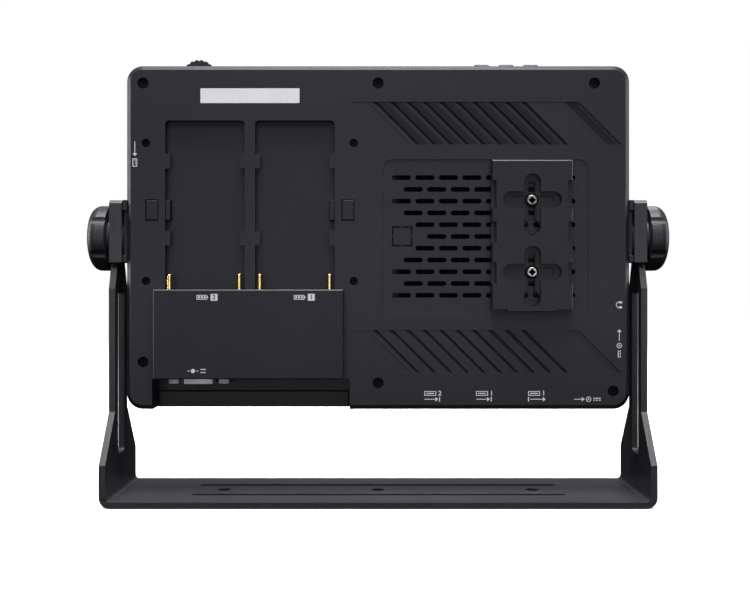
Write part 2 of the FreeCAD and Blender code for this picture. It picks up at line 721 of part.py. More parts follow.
# Places of the repeated fasteners, as X and Z.
cover_screw_places = [
    (left + d.screw_edge_x, top - d.screw_edge_z),
    (size_of(0), top - d.screw_edge_z),
    (right - d.screw_right_x, top - d.screw_edge_z),
    (left + d.screw_edge_x, bottom + d.screw_left_rise),
    (size_of(0), bottom + d.screw_mid_rise),
    (right - d.screw_edge_x, bottom + d.screw_right_rise),
]
bay_screw_places = [
    (x, z)
    for x in (bay_left - d.small_side, bay_right + d.small_side)
    for z in (bay_top - d.small_drop, bay_end + d.small_rise)
]
plate_screw_places = [
    (plate_middle, vent_middle + d.cross_spacing / 2),
    (plate_middle, vent_middle - d.cross_spacing / 2),
]
side_screw_heights = (pivot - d.side_screw_low, pivot + d.side_screw_high)


# Rear cover
def louvre_cutter(name, low):
    """Slanting louvres of one panel: each drops 45 degrees to the right and sinks towards a wall on its right."""
    high = (low + d.rib_height).value
    drop = d.rib_height.value
    start = (right - d.rib_inset).value
    outside = rear.value - PAST
    floor = (rear + d.rib_depth).value
    shallow = (rear + d.rib_sink).value
    line_floor = shallow + d.rib_sink.value

    def slanted(profile):
        corners = [Vector(x, y, high) for x, y in profile]
        face = Part.Face(Part.makePolygon(corners + corners[:1]))
        return face.extrude(Vector(drop, 0, -drop))

    solids = []
    slope = d.rib_ramp.value / d.rib_depth.value
    for index in range(RIB_COUNT):
        wall = start + index * d.rib_pitch.value
        foot = wall - d.rib_floor.value
        lip = foot - slope * (floor - outside)
        solids.append(slanted([(lip, outside), (foot, floor), (wall, floor), (wall, outside)]))
    tail = start + d.rib_tail.value
    tail_end = tail + d.rib_tail_width.value
    tail_floor = (rear + d.rib_tail_depth).value
    solids.append(slanted([(tail, outside), (tail, tail_floor), (tail_end, tail_floor), (tail_end, outside)]))
    line = start - d.rib_line_lead.value
    line_end = line + d.rib_line.value
    solids.append(slanted([(line, outside), (line, line_floor), (line_end, line_floor), (line_end, outside)]))
    lead = start - d.rib_lead.value
    recess = slanted([(lead, outside), (lead, shallow), (tail_end, shallow), (tail_end, outside)])
    cutter = doc.addObject("Part::Feature", name)
    cutter.Shape = recess.fuse(solids).removeSplitter()
    return cutter


def vent_slot_solid(x, z):
    """One round-ended vent slot that starts at x."""
    half = d.slot_width.value / 2
    start = x + half
    stop = x + d.slot_length.value - half
    outside = rear.value - PAST
    upper = Part.makeLine(Vector(start, outside, z + half), Vector(stop, outside, z + half))
    lower = Part.makeLine(Vector(stop, outside, z - half), Vector(start, outside, z - half))
    ends = [
        Part.Arc(Vector(stop, outside, z + half), Vector(stop + half, outside, z), Vector(stop, outside, z - half)),
        Part.Arc(Vector(start, outside, z - half), Vector(start - half, outside, z), Vector(start, outside, z + half)),
    ]
    wire = Part.Wire([upper, ends[0].toShape(), lower, ends[1].toShape()])
    return Part.Face(wire).extrude(Vector(0, d.rear_wall.value + 2 * PAST, 0))


def vent_cutter():
    """Staggered rows of slots, left out round the engraved mark and the mount plate's inserts."""
    first = (vent_left + d.slot_start).value
    mark_end = first + d.mark_size.value
    mark_half = (d.mark_size.value + d.slot_width.value) / 2 + d.mark_line.value
    clear = (d.insert_flange + d.slot_width / 2 + d.glide_gap).value
    solids = []
    for row in range(SLOT_ROWS):
        z = vent_middle.value + ((SLOT_ROWS - 1) / 2 - row) * d.slot_row_pitch.value
        offset = (row % 2) * d.slot_pitch.value / 2
        for column in range(SLOT_COLUMNS - row % 2):
            x = first + offset + column * d.slot_pitch.value
            near_mark = x < mark_end and abs(z - vent_middle.value) < mark_half
            near_insert = any(
                abs(z - place.value) < clear and x - clear < across.value < x + d.slot_length.value + clear
                for across, place in plate_screw_places
            )
            if not near_mark and not near_insert:
                solids.append(vent_slot_solid(x, z))
    cutter = doc.addObject("Part::Feature", "vent_slots")
    cutter.Shape = Part.makeCompound(solids)
    return cutter


def mark_cutter():
    """Four engraved corners of a square beside the vent slots."""
    low_x = vent_left + d.slot_start
    low_z = vent_middle - d.mark_size / 2
    depth = (rear - PAST, vent_face + d.mark_depth)
    corners = []
    for name, x, z, turn_x, turn_z in (
        ("a", low_x, low_z, 1, 1),
        ("b", low_x + d.mark_size, low_z, -1, 1),
        ("c", low_x, low_z + d.mark_size, 1, -1),
        ("e", low_x + d.mark_size, low_z + d.mark_size, -1, -1),
    ):
        span_x = sorted((x, x + d.mark_arm * turn_x), key=lambda place: place.value)
        line_x = sorted((x, x + d.mark_line * turn_x), key=lambda place: place.value)
        span_z = sorted((z, z + d.mark_arm * turn_z), key=lambda place: place.value)
        line_z = sorted((z, z + d.mark_line * turn_z), key=lambda place: place.value)
        corners.append(fuse(
            "mark_" + name,
            block("mark_level_" + name, span_x, depth, line_z),
            block("mark_upright_" + name, line_x, depth, span_z),
        ))
    return corners


def release_window(name, depth):
    """Hole for the left release button, or for its bar in the bay plate."""
    low = bay_end + d.latch_rise
    button_right = bay_left - d.release_offset
    button_left = button_right - d.release_width
    gap = d.glide_gap
    return block(name, (button_left - gap, button_right + gap), depth, (low - gap, low + d.latch_length + gap))


def hook_tabs():
    """Tabs on both sides of each bay that hold a battery down."""
    tabs = []
    face = (rear, rear + d.hook_thick)
    for bay in range(2):
        low_x = bay_left + (d.bay_width + d.bay_gap) * bay
        high_x = low_x + d.bay_width
        for height in (d.hook_low, d.hook_high):
            z = (bay_end + height, bay_end + height + d.hook_length)
            tabs.append(block("hook_a", (low_x - PAST, low_x + d.hook_reach), face, z))
            tabs.append(block("hook_b", (high_x - d.hook_reach, high_x + PAST), face, z))
    return tabs


def rear_shell():
    """Open tray with rounded corners and a bevelled rear face."""
    shell = slab("rear_shell", (left, right), (rear, seam), (bottom, top), d.case_corner)
    round_edges(shell, "Chamfer", d.case_bevel, lambda edge: lies_at(edge, "y", rear))
    inside = rectangle((inner_left, inner_right), (inner_bottom, inner_top))
    return pocket(shell, inside, -seam, d.rear_cover_depth - d.rear_wall, False)


def edge_openings():
    """Openings in the case's four side walls."""
    through_top = (inner_top - PAST, top + PAST)
    through_bottom = (bottom - PAST, inner_bottom + PAST)
    gap = d.glide_gap
    tools = []
    half_dial = d.dial_radius + gap
    dial_y = (controls_y - d.dial_width / 2 - gap, controls_y + d.dial_width / 2 + gap)
    tools.append(block("dial_slot", (dial_x - half_dial, dial_x + half_dial), dial_y, through_top))
    for index in range(3):
        x = right - d.button_inset + d.button_pitch * (index - 1)
        half_x = d.button_length / 2 + gap
        half_y = d.button_width / 2 + gap
        y = (controls_y - half_y, controls_y + half_y)
        tools.append(block("button_hole_%d" % index, (x - half_x, x + half_x), y, through_top))
    for index in range(3):
        x = right - d.video_inset + d.video_pitch * (index - 1)
        half_x = d.video_width / 2 + gap
        y = (board_rear - d.video_thick - gap, board_rear + gap)
        tools.append(block("video_hole_%d" % index, (x - half_x, x + half_x), y, through_bottom))
    power_x = right - d.power_inset
    power_y = board_rear - d.power_width / 2
    tools.append(rod("power_hole", "z", (power_x, power_y), through_bottom, d.power_bore + d.fit_gap))
    through_right = (inner_right - PAST, right + PAST)
    audio_y = board_rear - d.audio_width / 2
    audio_z = bottom + d.audio_rise
    tools.append(rod("audio_hole", "x", (audio_y, audio_z), through_right, d.audio_collar + d.fit_gap))
    output_y = board_rear - d.output_width / 2
    output_z = bottom + d.output_rise
    tools.append(rod("output_hole", "x", (output_y, output_z), through_right, d.output_collar + d.fit_gap))
    card_z = top - d.card_drop
    card_y = bay_plate_front + d.card_thick / 2
    tools.append(block(
        "card_hole", (left - PAST, inner_left + PAST),
        (card_y - d.card_gap / 2 - gap, card_y + d.card_gap / 2 + gap),
        (card_z - d.card_mouth / 2 - gap, card_z + d.card_mouth / 2 + gap),
    ))
    return tools


def pivot_holes(name):
    """Holes for the knob studs in both side walls."""
    hole = rod(name + "_right", "x", (0, pivot), (inner_right - PAST, right + PAST), stud_hole)
    return [hole, mirror(name + "_left", hole)]


def side_screw_holes(name, span, radius):
    """Clearance holes of the side plate screws in both side walls."""
    holes = []
    for index, z in enumerate(side_screw_heights):
        hole = rod("%s_right_%d" % (name, index), "x", (0, z), span, radius)
        holes += [hole, mirror("%s_left_%d" % (name, index), hole)]
    return holes


def tally_holes(name):
    """Openings for the tally socket's shell and jack screws in the notch's ceiling."""
    half_x = d.tally_shell_width / 2 + d.glide_gap
    half_y = d.tally_shell_depth / 2 + d.glide_gap
    z = (notch_top - PAST / 2, tally_seat + PAST / 2)
    tools = [block(name + "_shell", (tally_x - half_x, tally_x + half_x), (tally_y - half_y, tally_y + half_y), z)]
    for index, side in enumerate((-1, 1)):
        x = tally_x + d.jack_spacing * (side / 2)
        tools.append(rod("%s_jack_%d" % (name, index), "z", (x, tally_y), z, d.jack_shank + d.fit_gap))
    return tools


def screw_bores():
    """Counterbored holes of the cover screws and bay screws, and the insert holes."""
    deep = d.case_depth
    wide = fuse(
        "cover_bore",
        rod("cover_bore_head", "y", (0, 0), (-PAST, d.screw_sink + d.screw_head / 2), d.screw_bore),
        rod("cover_bore_shank", "y", (0, 0), (0, deep), d.screw_shank + d.fit_gap),
    )
    small = fuse(
        "bay_bore",
        rod("bay_bore_head", "y", (0, 0), (-PAST, d.screw_sink + d.small_head / 2), d.small_bore),
        rod("bay_bore_shank", "y", (0, 0), (0, deep), d.small_shank + d.fit_gap),
    )
    insert = rod("insert_bore", "y", (0, 0), (-PAST, d.rear_wall + PAST), d.insert_radius + d.fit_gap)
    return [
        scatter("cover_bores", wide, [(x, rear, z) for x, z in cover_screw_places]),
        scatter("bay_bores", small, [(x, rear, z) for x, z in bay_screw_places]),
        scatter("insert_bores", insert, [(x, rear, z) for x, z in plate_screw_places]),
    ]


def make_rear_cover():
    bosses = [
        rod("boss_%d" % index, "y", place, (inner_rear - PAST, chassis_rear), d.boss_radius)
        for index, place in enumerate(cover_screw_places)
    ]
    bay_frame = block(
        "bay_frame", (bay_left - d.bay_plate_side, bay_right + d.bay_plate_side),
        (inner_rear - PAST, bay_floor), (bay_end - d.stop_rim / 2, bay_top + d.bay_plate_end),
    )
    notch_case = block(
        "notch_case", (notch_left - d.notch_wall, notch_right + d.notch_wall),
        (inner_rear - PAST, seam), (bottom, tally_seat),
    )
    shelf_z = button_board_low()
    shelf_x = button_board_span()
    shelf = block("shelf", shelf_x, (inner_rear - PAST, controls_y - d.button_width), (shelf_z - d.shelf_thick, shelf_z))
    rough = fuse("rear_rough", rear_shell(), bay_frame, notch_case, shelf, *bosses)
    bays = [
        slab("bay_cut_%d" % index, (low, low + d.bay_width), (rear - PAST, bay_floor + PAST),
             (bay_end - d.bay_round, bay_top), d.bay_round)
        for index, low in enumerate((bay_left, bay_left + d.bay_width + d.bay_gap))
    ]
    release = release_window("release_hole_left", (rear - PAST, bay_floor + PAST))
    windows = [
        release,
        mirror("release_hole_right", release, bay_middle),
        block("lens_window", (lens_left, lens_left + d.lens_width), (rear - PAST, inner_rear + PAST),
              (lens_top - d.lens_height, lens_top)),
        block("stop_window", (stop_left + d.stop_rim, stop_right - d.stop_rim), (rear - PAST, inner_rear + PAST),
              (tally_seat, bay_end - d.stop_rim)),
    ]
    opened = cut("rear_opened", rough, *bays, *windows)
    notch = block("notch_cut", (notch_left, notch_right), (rear - PAST, notch_floor), (bottom - PAST, notch_top))
    vent_recess = slab(
        "vent_recess", (vent_left, vent_right), (rear - PAST, vent_face),
        (vent_middle - d.vent_height / 2, vent_middle + d.vent_height / 2), d.vent_round,
    )
    sunk = cut("rear_sunk", opened, notch, vent_recess)
    vented = cut("rear_vented", sunk, vent_cutter(), *mark_cutter())
    louvred = cut(
        "rear_louvred", vented,
        louvre_cutter("upper_louvres", top - d.rib_margin - d.rib_height),
        louvre_cutter("lower_louvres", bottom + d.rib_margin),
    )
    bored = cut("rear_bored", louvred, *screw_bores())
    through_side = (inner_right - PAST, right + PAST)
    pierced = cut(
        "rear_pierced", bored, *edge_openings(), *pivot_holes("rear_pivot"), *tally_holes("rear_tally"),
        *side_screw_holes("rear_side", through_side, d.screw_shank + d.fit_gap),
    )
    sill = block(
        "sill", (notch_left + d.sill_left, notch_right - d.sill_right),
        (notch_floor - d.sill_rise, notch_floor + PAST), (bottom, bottom + d.sill_height),
    )
    eased_sill = soften(
        "sill_eased", sill, "Chamfer", d.sill_rise / 3,
        lambda edge: lies_at(edge, "y", notch_floor - d.sill_rise) and not lies_at(edge, "z", bottom),
    )
    return keep(fuse("rear_cover", pierced, eased_sill, *hook_tabs()), "rear_cover")


# Front frame, glass, display and chassis plate
def make_front():
    frame = slab("front_tray", (left, right), (seam, front), (bottom, top), d.case_corner)
    round_edges(frame, "Fillet", d.front_round, lambda edge: lies_at(edge, "y", front))
    inside = rectangle((inner_left, inner_right), (inner_bottom, inner_top))
    pocket(frame, inside, -seam, lip_rear - seam, True)
    half_width = d.view_width / 2
    view_z = (pivot - d.view_height / 2, pivot + d.view_height / 2)
    pocket(frame, rectangle((-half_width, half_width), view_z), -lip_rear, d.lip_thick, True)
    glass_x = (left + d.glass_margin, right - d.glass_margin)
    glass_z = (bottom + d.glass_margin, top - d.glass_margin)
    glass_rear = front - d.glass_thick
    corner = d.case_corner - d.glass_margin
    recess = slab("glass_recess", glass_x, (glass_rear, front + PAST), glass_z, corner)
    sunk = cut("front_sunk", frame, recess)
    keep(cut("front_frame", sunk, *pivot_holes("front_pivot")), "front_frame")
    gap = d.fit_gap
    keep(slab(
        "cover_glass", (glass_x[0] + gap, glass_x[1] - gap), (glass_rear, front),
        (glass_z[0] + gap, glass_z[1] - gap), corner,
    ), "cover_glass")
    half_panel = d.panel_width / 2
    keep(block(
        "display_panel", (-half_panel, half_panel), (chassis_front, lip_rear),
        (pivot - d.panel_height / 2, pivot + d.panel_height / 2),
    ), "display_panel")
    sheet_blank = block(
        "chassis_blank", (inner_left + gap, inner_right - gap), (chassis_rear, chassis_front),
        (inner_bottom + gap, inner_top - gap),
    )
    hole = rod("chassis_hole", "y", (0, 0), (-PAST, d.chassis_thick + PAST), d.screw_shank)
    holes = scatter("chassis_holes", hole, [(x, chassis_rear, z) for x, z in cover_screw_places])
    keep(cut("chassis_plate", sheet_blank, holes), "chassis_plate")


# Battery bays: floor plate, stop block, pins and release buttons
def make_bay_plate():
    blank = block(
        "bay_plate_blank", (bay_left - d.bay_plate_side, bay_right + d.bay_plate_side),
        (bay_floor, bay_plate_front), (bay_end - d.stop_rim / 2, bay_top + d.bay_plate_end),
    )
    low = bay_end + d.latch_rise - d.glide_gap
    high = low + d.latch_length + d.glide_gap * 2
    bar_left = bay_left - d.release_offset - d.release_width - d.glide_gap
    window = block(
        "bar_window_left", (bar_left, bay_left + d.latch_reach + d.glide_gap),
        (bay_floor - PAST, bay_plate_front + PAST), (low, high),
    )
    hole = rod("bay_plate_hole", "y", (0, 0), (-PAST, d.bay_plate_thick + PAST), d.small_shank)
    holes = scatter("bay_plate_holes", hole, [(x, bay_floor, z) for x, z in bay_screw_places])
    keep(cut("battery_bay_plate", blank, window, mirror("bar_window_right", window, bay_middle), holes),
         "battery_bay_plate")


def pin_places():
    """X of the four battery contact pins."""
    places = []
    for bay in range(2):
        low = bay_left + (d.bay_width + d.bay_gap) * bay
        places += [low + d.pin_inset, low + d.bay_width - d.pin_inset]
    return places


def make_stop_block():
    wall = d.stop_wall
    pin_y = (stop_face + wall + rear) / 2
    blank = block("stop_blank", (stop_left, stop_right), (stop_face, rear), (notch_top, bay_end))
    eased = soften("stop_eased", blank, "Chamfer", d.stop_bevel, lambda edge: lies_at(edge, "y", stop_face))
    hollow = block(
        "stop_hollow", (stop_left + wall, stop_right - wall), (stop_face + wall, rear + PAST),
        (tally_seat, bay_end - wall),
    )
    hollowed = cut("stop_hollowed", eased, hollow)
    hole = rod("stop_pin_hole", "z", (0, 0), (-PAST, wall + PAST), d.pin_radius + d.turn_gap)
    holes = scatter("stop_pin_holes", hole, [(x, pin_y, bay_end - wall) for x in pin_places()])
    keep(cut("battery_stop_block", hollowed, holes, *tally_holes("stop_tally")), "battery_stop_block")
    board_top_z = bay_end - d.pin_sunk
    gap = d.fit_gap
    keep(block(
        "battery_terminal_board", (stop_left + wall + gap, stop_right - wall - gap),
        (stop_face + wall, rear), (board_top_z - d.terminal_thick, board_top_z),
    ), "battery_terminal_board")
    tip = d.pin_radius * PIN_TIP
    stem = rod("pin_stem", "z", (0, 0), (0, d.pin_sunk + d.pin_rise), d.pin_radius)
    pin = soften("battery_pin", stem, "Fillet", tip,
                 lambda edge: lies_at(edge, "z", d.pin_sunk + d.pin_rise))
    keep(scatter("battery_pins", pin, [(x, pin_y, board_top_z) for x in pin_places()]), "battery_pins")


def make_release_buttons():
    """Button, bar and latch tab in one piece, each with a coil spring behind it."""
    low = bay_end + d.latch_rise
    z = (low, low + d.latch_length)
    button_right = bay_left - d.release_offset
    button_left = button_right - d.release_width
    bar_rear = bay_floor + d.glide_gap
    bar_front = bar_rear + d.latch_bar
    tab_left = bay_left + d.glide_gap
    tab_right = bay_left + d.latch_reach
    button = fuse(
        "release_left_blank",
        block("release_cap", (button_left, button_right), (rear, bar_front), z),
        block("release_bar", (button_left, tab_right), (bar_rear, bar_front), z),
        block("release_tab", (tab_left, tab_right), (rear + d.latch_sink, bar_front), z),
    )
    eased = soften("battery_release_left", button, "Chamfer", d.latch_sink, lambda edge: lies_at(edge, "y", rear))
    keep(eased, "battery_release_left")
    keep(mirror("battery_release_right", eased, bay_middle), "battery_release_right")
    spring_x = (button_left + button_right) / 2
    length = (chassis_rear - bar_front).value
    wire = d.spring_wire.value
    radius = d.spring_radius.value
    rise = length - wire
    helix = Part.makeHelix(rise / d.spring_turns.value, rise, radius)
    section = Part.Wire([Part.Edge(Part.Circle(Vector(radius, 0, 0), Vector(0, 1, 0), wire / 2))])
    coil = Part.Wire(helix.Edges).makePipeShell([section], True, True)
    spring = doc.addObject("Part::Feature", "release_spring_left")
    spring.Shape = coil
    middle = Vector(spring_x.value, bar_front.value + wire / 2, (low + d.latch_length / 2).value)
    spring.Placement = FreeCAD.Placement(middle, TURNS["y"])
    keep(spring, "release_spring_left")
    keep(mirror("release_spring_right", spring, bay_middle), "release_spring_right")


# Tally socket and tally light
def make_tally_socket():
    half_flange = d.jack_spacing / 2 + d.tally_ear
    half_depth = d.tally_flange_depth / 2
    flange_top = tally_seat + d.tally_flange_thick
    half_x = d.tally_shell_width / 2
    half_y = d.tally_shell_depth / 2
    shell_low = notch_top - d.tally_shell_drop
    shell_blank = block(
        "tally_shell_blank", (tally_x - half_x, tally_x + half_x), (tally_y - half_y, tally_y + half_y),
        (shell_low, tally_seat),
    )
    shell = soften("tally_shell", shell_blank, "Fillet", half_y / 2, lambda edge: straight_along(edge, "z"))
    flange = block(
        "tally_flange", (tally_x - half_flange, tally_x + half_flange),
        (tally_y - half_depth, tally_y + half_depth), (tally_seat, flange_top),
    )
    body = block(
        "tally_body", (tally_x - half_x, tally_x + half_x), (tally_y - half_y, tally_y + half_y),
        (flange_top, flange_top + d.tally_body_height),
    )
    blank = fuse("tally_blank", shell, flange, body)
    contact = rod("tally_contact", "z", (0, 0), (-PAST, d.tally_shell_drop + d.notch_wall), d.contact_hole)
    step = d.contact_step
    row = d.contact_row
    places = [(tally_x + step * (index - 2), tally_y - row, shell_low) for index in range(5)]
    places += [(tally_x + step * (index - 1.5), tally_y + row, shell_low) for index in range(4)]
    contacts = scatter("tally_contacts", contact, places)
    jacks = [
        rod("tally_jack_%d" % index, "z", (tally_x + d.jack_spacing * (side / 2), tally_y),
            (tally_seat - PAST, flange_top + PAST), d.jack_shank)
        for index, side in enumerate((-1, 1))
    ]
    keep(cut("tally_socket", blank, contacts, *jacks), "tally_socket")
    screws = []
    for index, side in enumerate((-1, 1)):
        centre = (tally_x + d.jack_spacing * (side / 2), tally_y)
        screws.append(fuse(
            "jack_screw_%d" % index,
            corner_to_rear(hexagon("jack_hex_%d" % index, "z", centre, (shell_low, notch_top), d.jack_hex)),
            rod("jack_shank_%d" % index, "z", centre, (notch_top, flange_top + d.tally_flange_thick), d.jack_shank),
        ))
    keep(group("tally_jack_screws", *screws), "tally_jack_screws")


def make_tally_light():
    gap = d.fit_gap
    keep(block(
        "tally_light_lens", (lens_left + gap, lens_left + d.lens_width - gap), (rear, inner_rear),
        (lens_top - d.lens_height + gap, lens_top - gap),
    ), "tally_light_lens")
    margin = d.light_board_margin
    keep(block(
        "tally_light_board", (lens_left - margin, lens_left + d.lens_width + margin),
        (inner_rear, inner_rear + d.light_board_thick), (lens_top - d.lens_height - margin, lens_top + margin),
    ), "tally_light_board")


# Mount plate and its fasteners
def make_mount_plate():
    x = (plate_left, plate_right)
    depth = (plate_face - PAST, cross_floor)
    through = (plate_face - PAST, vent_face + PAST)
    blank = block("plate_blank", x, (plate_face, vent_face), (plate_low, plate_top))
    eased = soften("plate_eased", blank, "Chamfer", d.plate_bevel, lambda edge: lies_at(edge, "y", plate_face))
    recesses = []
    slots = []
    half_level = d.cross_length / 2
    for index, (across, z) in enumerate(plate_screw_places):
        upright = stadium("cross_upright_%d" % index, "z", "y", (z - d.cross_down, z + d.cross_up),
                          across, d.cross_width, depth)
        level = stadium("cross_level_%d" % index, "x", "y", (across - half_level, across + half_level),
                        z, d.cross_width, depth)
        inset = d.groove_inset
        groove_y = (plate_face - PAST, cross_floor + d.groove_depth)
        groove_up = stadium("groove_upright_%d" % index, "z", "y", (z - d.cross_down + inset, z + d.cross_up - inset),
                            across, d.groove_width, groove_y)
        groove_level = stadium("groove_level_%d" % index, "x", "y",
                               (across - half_level + inset, across + half_level - inset), z, d.groove_width, groove_y)
        recesses.append(fuse("cross_%d" % index, upright, level, groove_up, groove_level))
        keyhole_z = z - d.cross_down + d.cross_width / 2
        keyway = block("keyway_%d" % index, (across - d.keyway_width / 2, across + d.keyway_width / 2), through,
                       (keyhole_z, z + d.cross_up - d.cross_width / 2))
        hole = rod("plate_hole_%d" % index, "y", (across, z), through, d.plate_screw_radius + d.fit_gap)
        keyhole = rod("keyhole_%d" % index, "y", (across, keyhole_z), through, d.cross_width / 2 - d.fit_gap)
        slots.append(fuse("plate_slot_%d" % index, keyway, hole, keyhole))
    recessed = cut("plate_recessed", eased, *recesses)
    slotted = cut("plate_slotted", recessed, *slots)
    notches = []
    notch_y = (plate_face - PAST, plate_face + d.edge_notch_depth)
    lengths = (d.edge_notch_long, d.edge_notch_short, d.edge_notch_short)
    for index, length in enumerate(lengths):
        high = plate_top - d.edge_notch_top - d.edge_notch_pitch * index
        z = (high - length, high)
        notches.append(block("plate_notch_a%d" % index, (plate_left - PAST, plate_left + d.edge_notch_width), notch_y, z))
        notches.append(block("plate_notch_b%d" % index, (plate_right - d.edge_notch_width, plate_right + PAST), notch_y, z))
    low_z = (plate_low - PAST, plate_low + d.corner_notch_height)
    notches.append(block("plate_foot_a", (plate_left - PAST, plate_left + d.corner_notch_width), notch_y, low_z))
    notches.append(block("plate_foot_b", (plate_right - d.corner_notch_width, plate_right + PAST), notch_y, low_z))
    keep(cut("mount_plate", slotted, *notches), "mount_plate")

    washer = cut(
        "plate_washer",
        rod("plate_washer_disc", "y", (0, 0), (0, d.washer_thick), d.washer_radius),
        rod("plate_washer_hole", "y", (0, 0), (-PAST, d.washer_thick + PAST), d.plate_screw_radius + d.fit_gap),
    )
    seat = cross_floor - d.washer_thick
    keep(scatter("mount_plate_washers", washer, [(x, seat, z) for x, z in plate_screw_places]), "mount_plate_washers")
    head_face = seat - d.plate_head_height
    insert_end = inner_rear + d.insert_flange_thick
    screw = cross_head_screw("plate_screw", d.plate_head_radius, d.plate_head_height, d.plate_screw_radius,
                             insert_end - seat)
    keep(scatter("mount_plate_screws", screw, [(x, head_face, z) for x, z in plate_screw_places]), "mount_plate_screws")
    reach = inner_rear - vent_face
    insert = cut(
        "plate_insert",
        fuse(
            "plate_insert_blank",
            rod("plate_insert_stem", "y", (0, 0), (0, reach), d.insert_radius),
            rod("plate_insert_flange", "y", (0, 0), (reach, reach + d.insert_flange_thick), d.insert_flange),
        ),
        rod("plate_insert_thread", "y", (0, 0), (-PAST, reach + d.insert_flange_thick + PAST), d.plate_screw_radius),
    )
    keep(scatter("mount_plate_inserts", insert, [(x, vent_face, z) for x, z in plate_screw_places]),
         "mount_plate_inserts")


def make_cover_screws():
    seat = rear + d.screw_sink + d.screw_head / 2
    head_height = d.screw_head / 2
    length = chassis_front - seat
    screw = cross_head_screw("cover_screw", d.screw_head, head_height, d.screw_shank, length)
    keep(scatter("cover_screws", screw, [(x, seat - head_height, z) for x, z in cover_screw_places]), "cover_screws")
    small_height = d.small_head / 2
    small_seat = rear + d.screw_sink + small_height
    small = cross_head_screw("bay_screw", d.small_head, small_height, d.small_shank, bay_plate_front - small_seat)
    keep(scatter("bay_screws", small, [(x, small_seat - small_height, z) for x, z in bay_screw_places]), "bay_screws")


# Boards, heat sink and sockets
def make_main_board():
    corner = block(
        "board_corner", (board_right - d.board_corner_width, board_right + PAST),
        (board_rear - PAST, board_front + PAST), (board_low - PAST, board_low + d.board_corner_height),
    )
    blank = block("board_blank", (board_left, board_right), (board_rear, board_front), (board_low, board_top))
    margin = d.standoff_margin
    video_end = right - d.video_inset + d.video_pitch + d.video_width / 2
    power_start = right - d.power_inset - d.power_width / 2
    places = [
        (board_left + margin, board_low + margin),
        ((video_end + power_start) / 2, board_low + margin),
        (board_left + margin, board_top - margin),
        (board_right - margin * 2, board_top - margin),
    ]
    hole = rod("board_hole", "y", (0, 0), (-PAST, d.board_thick + PAST), d.board_screw_radius)
    holes = scatter("board_holes", hole, [(x, board_rear, z) for x, z in places])
    keep(cut("main_board", blank, corner, holes), "main_board")
    standoff = cut(
        "standoff",
        hexagon("standoff_hex", "y", (0, 0), (0, d.standoff_height), d.standoff_radius),
        rod("standoff_thread", "y", (0, 0), (-PAST, d.standoff_height + PAST), d.board_screw_radius),
    )
    keep(scatter("board_standoffs", standoff, [(x, board_front, z) for x, z in places]), "board_standoffs")
    screw = cross_head_screw("board_screw", d.board_screw_head, d.board_screw_cap, d.board_screw_radius,
                             d.board_thick + d.standoff_height)
    keep(scatter("board_screws", screw, [(x, board_rear - d.board_screw_cap, z) for x, z in places]), "board_screws")
    sink_x = board_left + d.sink_left
    sink_z = (vent_middle - d.sink_height / 2, vent_middle + d.sink_height / 2)
    pieces = [block("sink_plate", (sink_x, sink_x + d.sink_width), (board_rear - d.sink_base, board_rear), sink_z)]
    for index in range(SINK_FINS):
        low = sink_x + (d.sink_width - d.sink_fin) * (index / (SINK_FINS - 1))
        fin_y = (board_rear - d.sink_reach, board_rear - d.sink_base)
        pieces.append(block("sink_fin_%d" % index, (low, low + d.sink_fin), fin_y, sink_z))
    keep(fuse("heat_sink", *pieces), "heat_sink")


def make_video_sockets():
    mouth = bottom + d.socket_sink
    y = (board_rear - d.video_thick, board_rear)
    middle_y = board_rear - d.video_thick / 2
    wall = d.video_wall
    for index, label in enumerate(("video_input_socket_2", "video_input_socket_1", "video_output_socket")):
        x = right - d.video_inset + d.video_pitch * (index - 1)
        half = d.video_width / 2
        shell = block(label + "_shell", (x - half, x + half), y, (mouth, mouth + d.video_length))
        inside = block(label + "_inside", (x - half + wall, x + half - wall), (y[0] + wall, y[1] - wall),
                       (mouth - PAST, mouth + d.video_length - d.video_tongue))
        tongue = block(label + "_tongue", (x - half + wall * 4, x + half - wall * 4),
                       (middle_y - d.video_tongue / 2, middle_y + d.video_tongue / 2),
                       (mouth + d.video_tongue, mouth + d.video_length - d.video_tongue / 2))
        keep(fuse(label, cut(label + "_hollow", shell, inside), tongue), label)


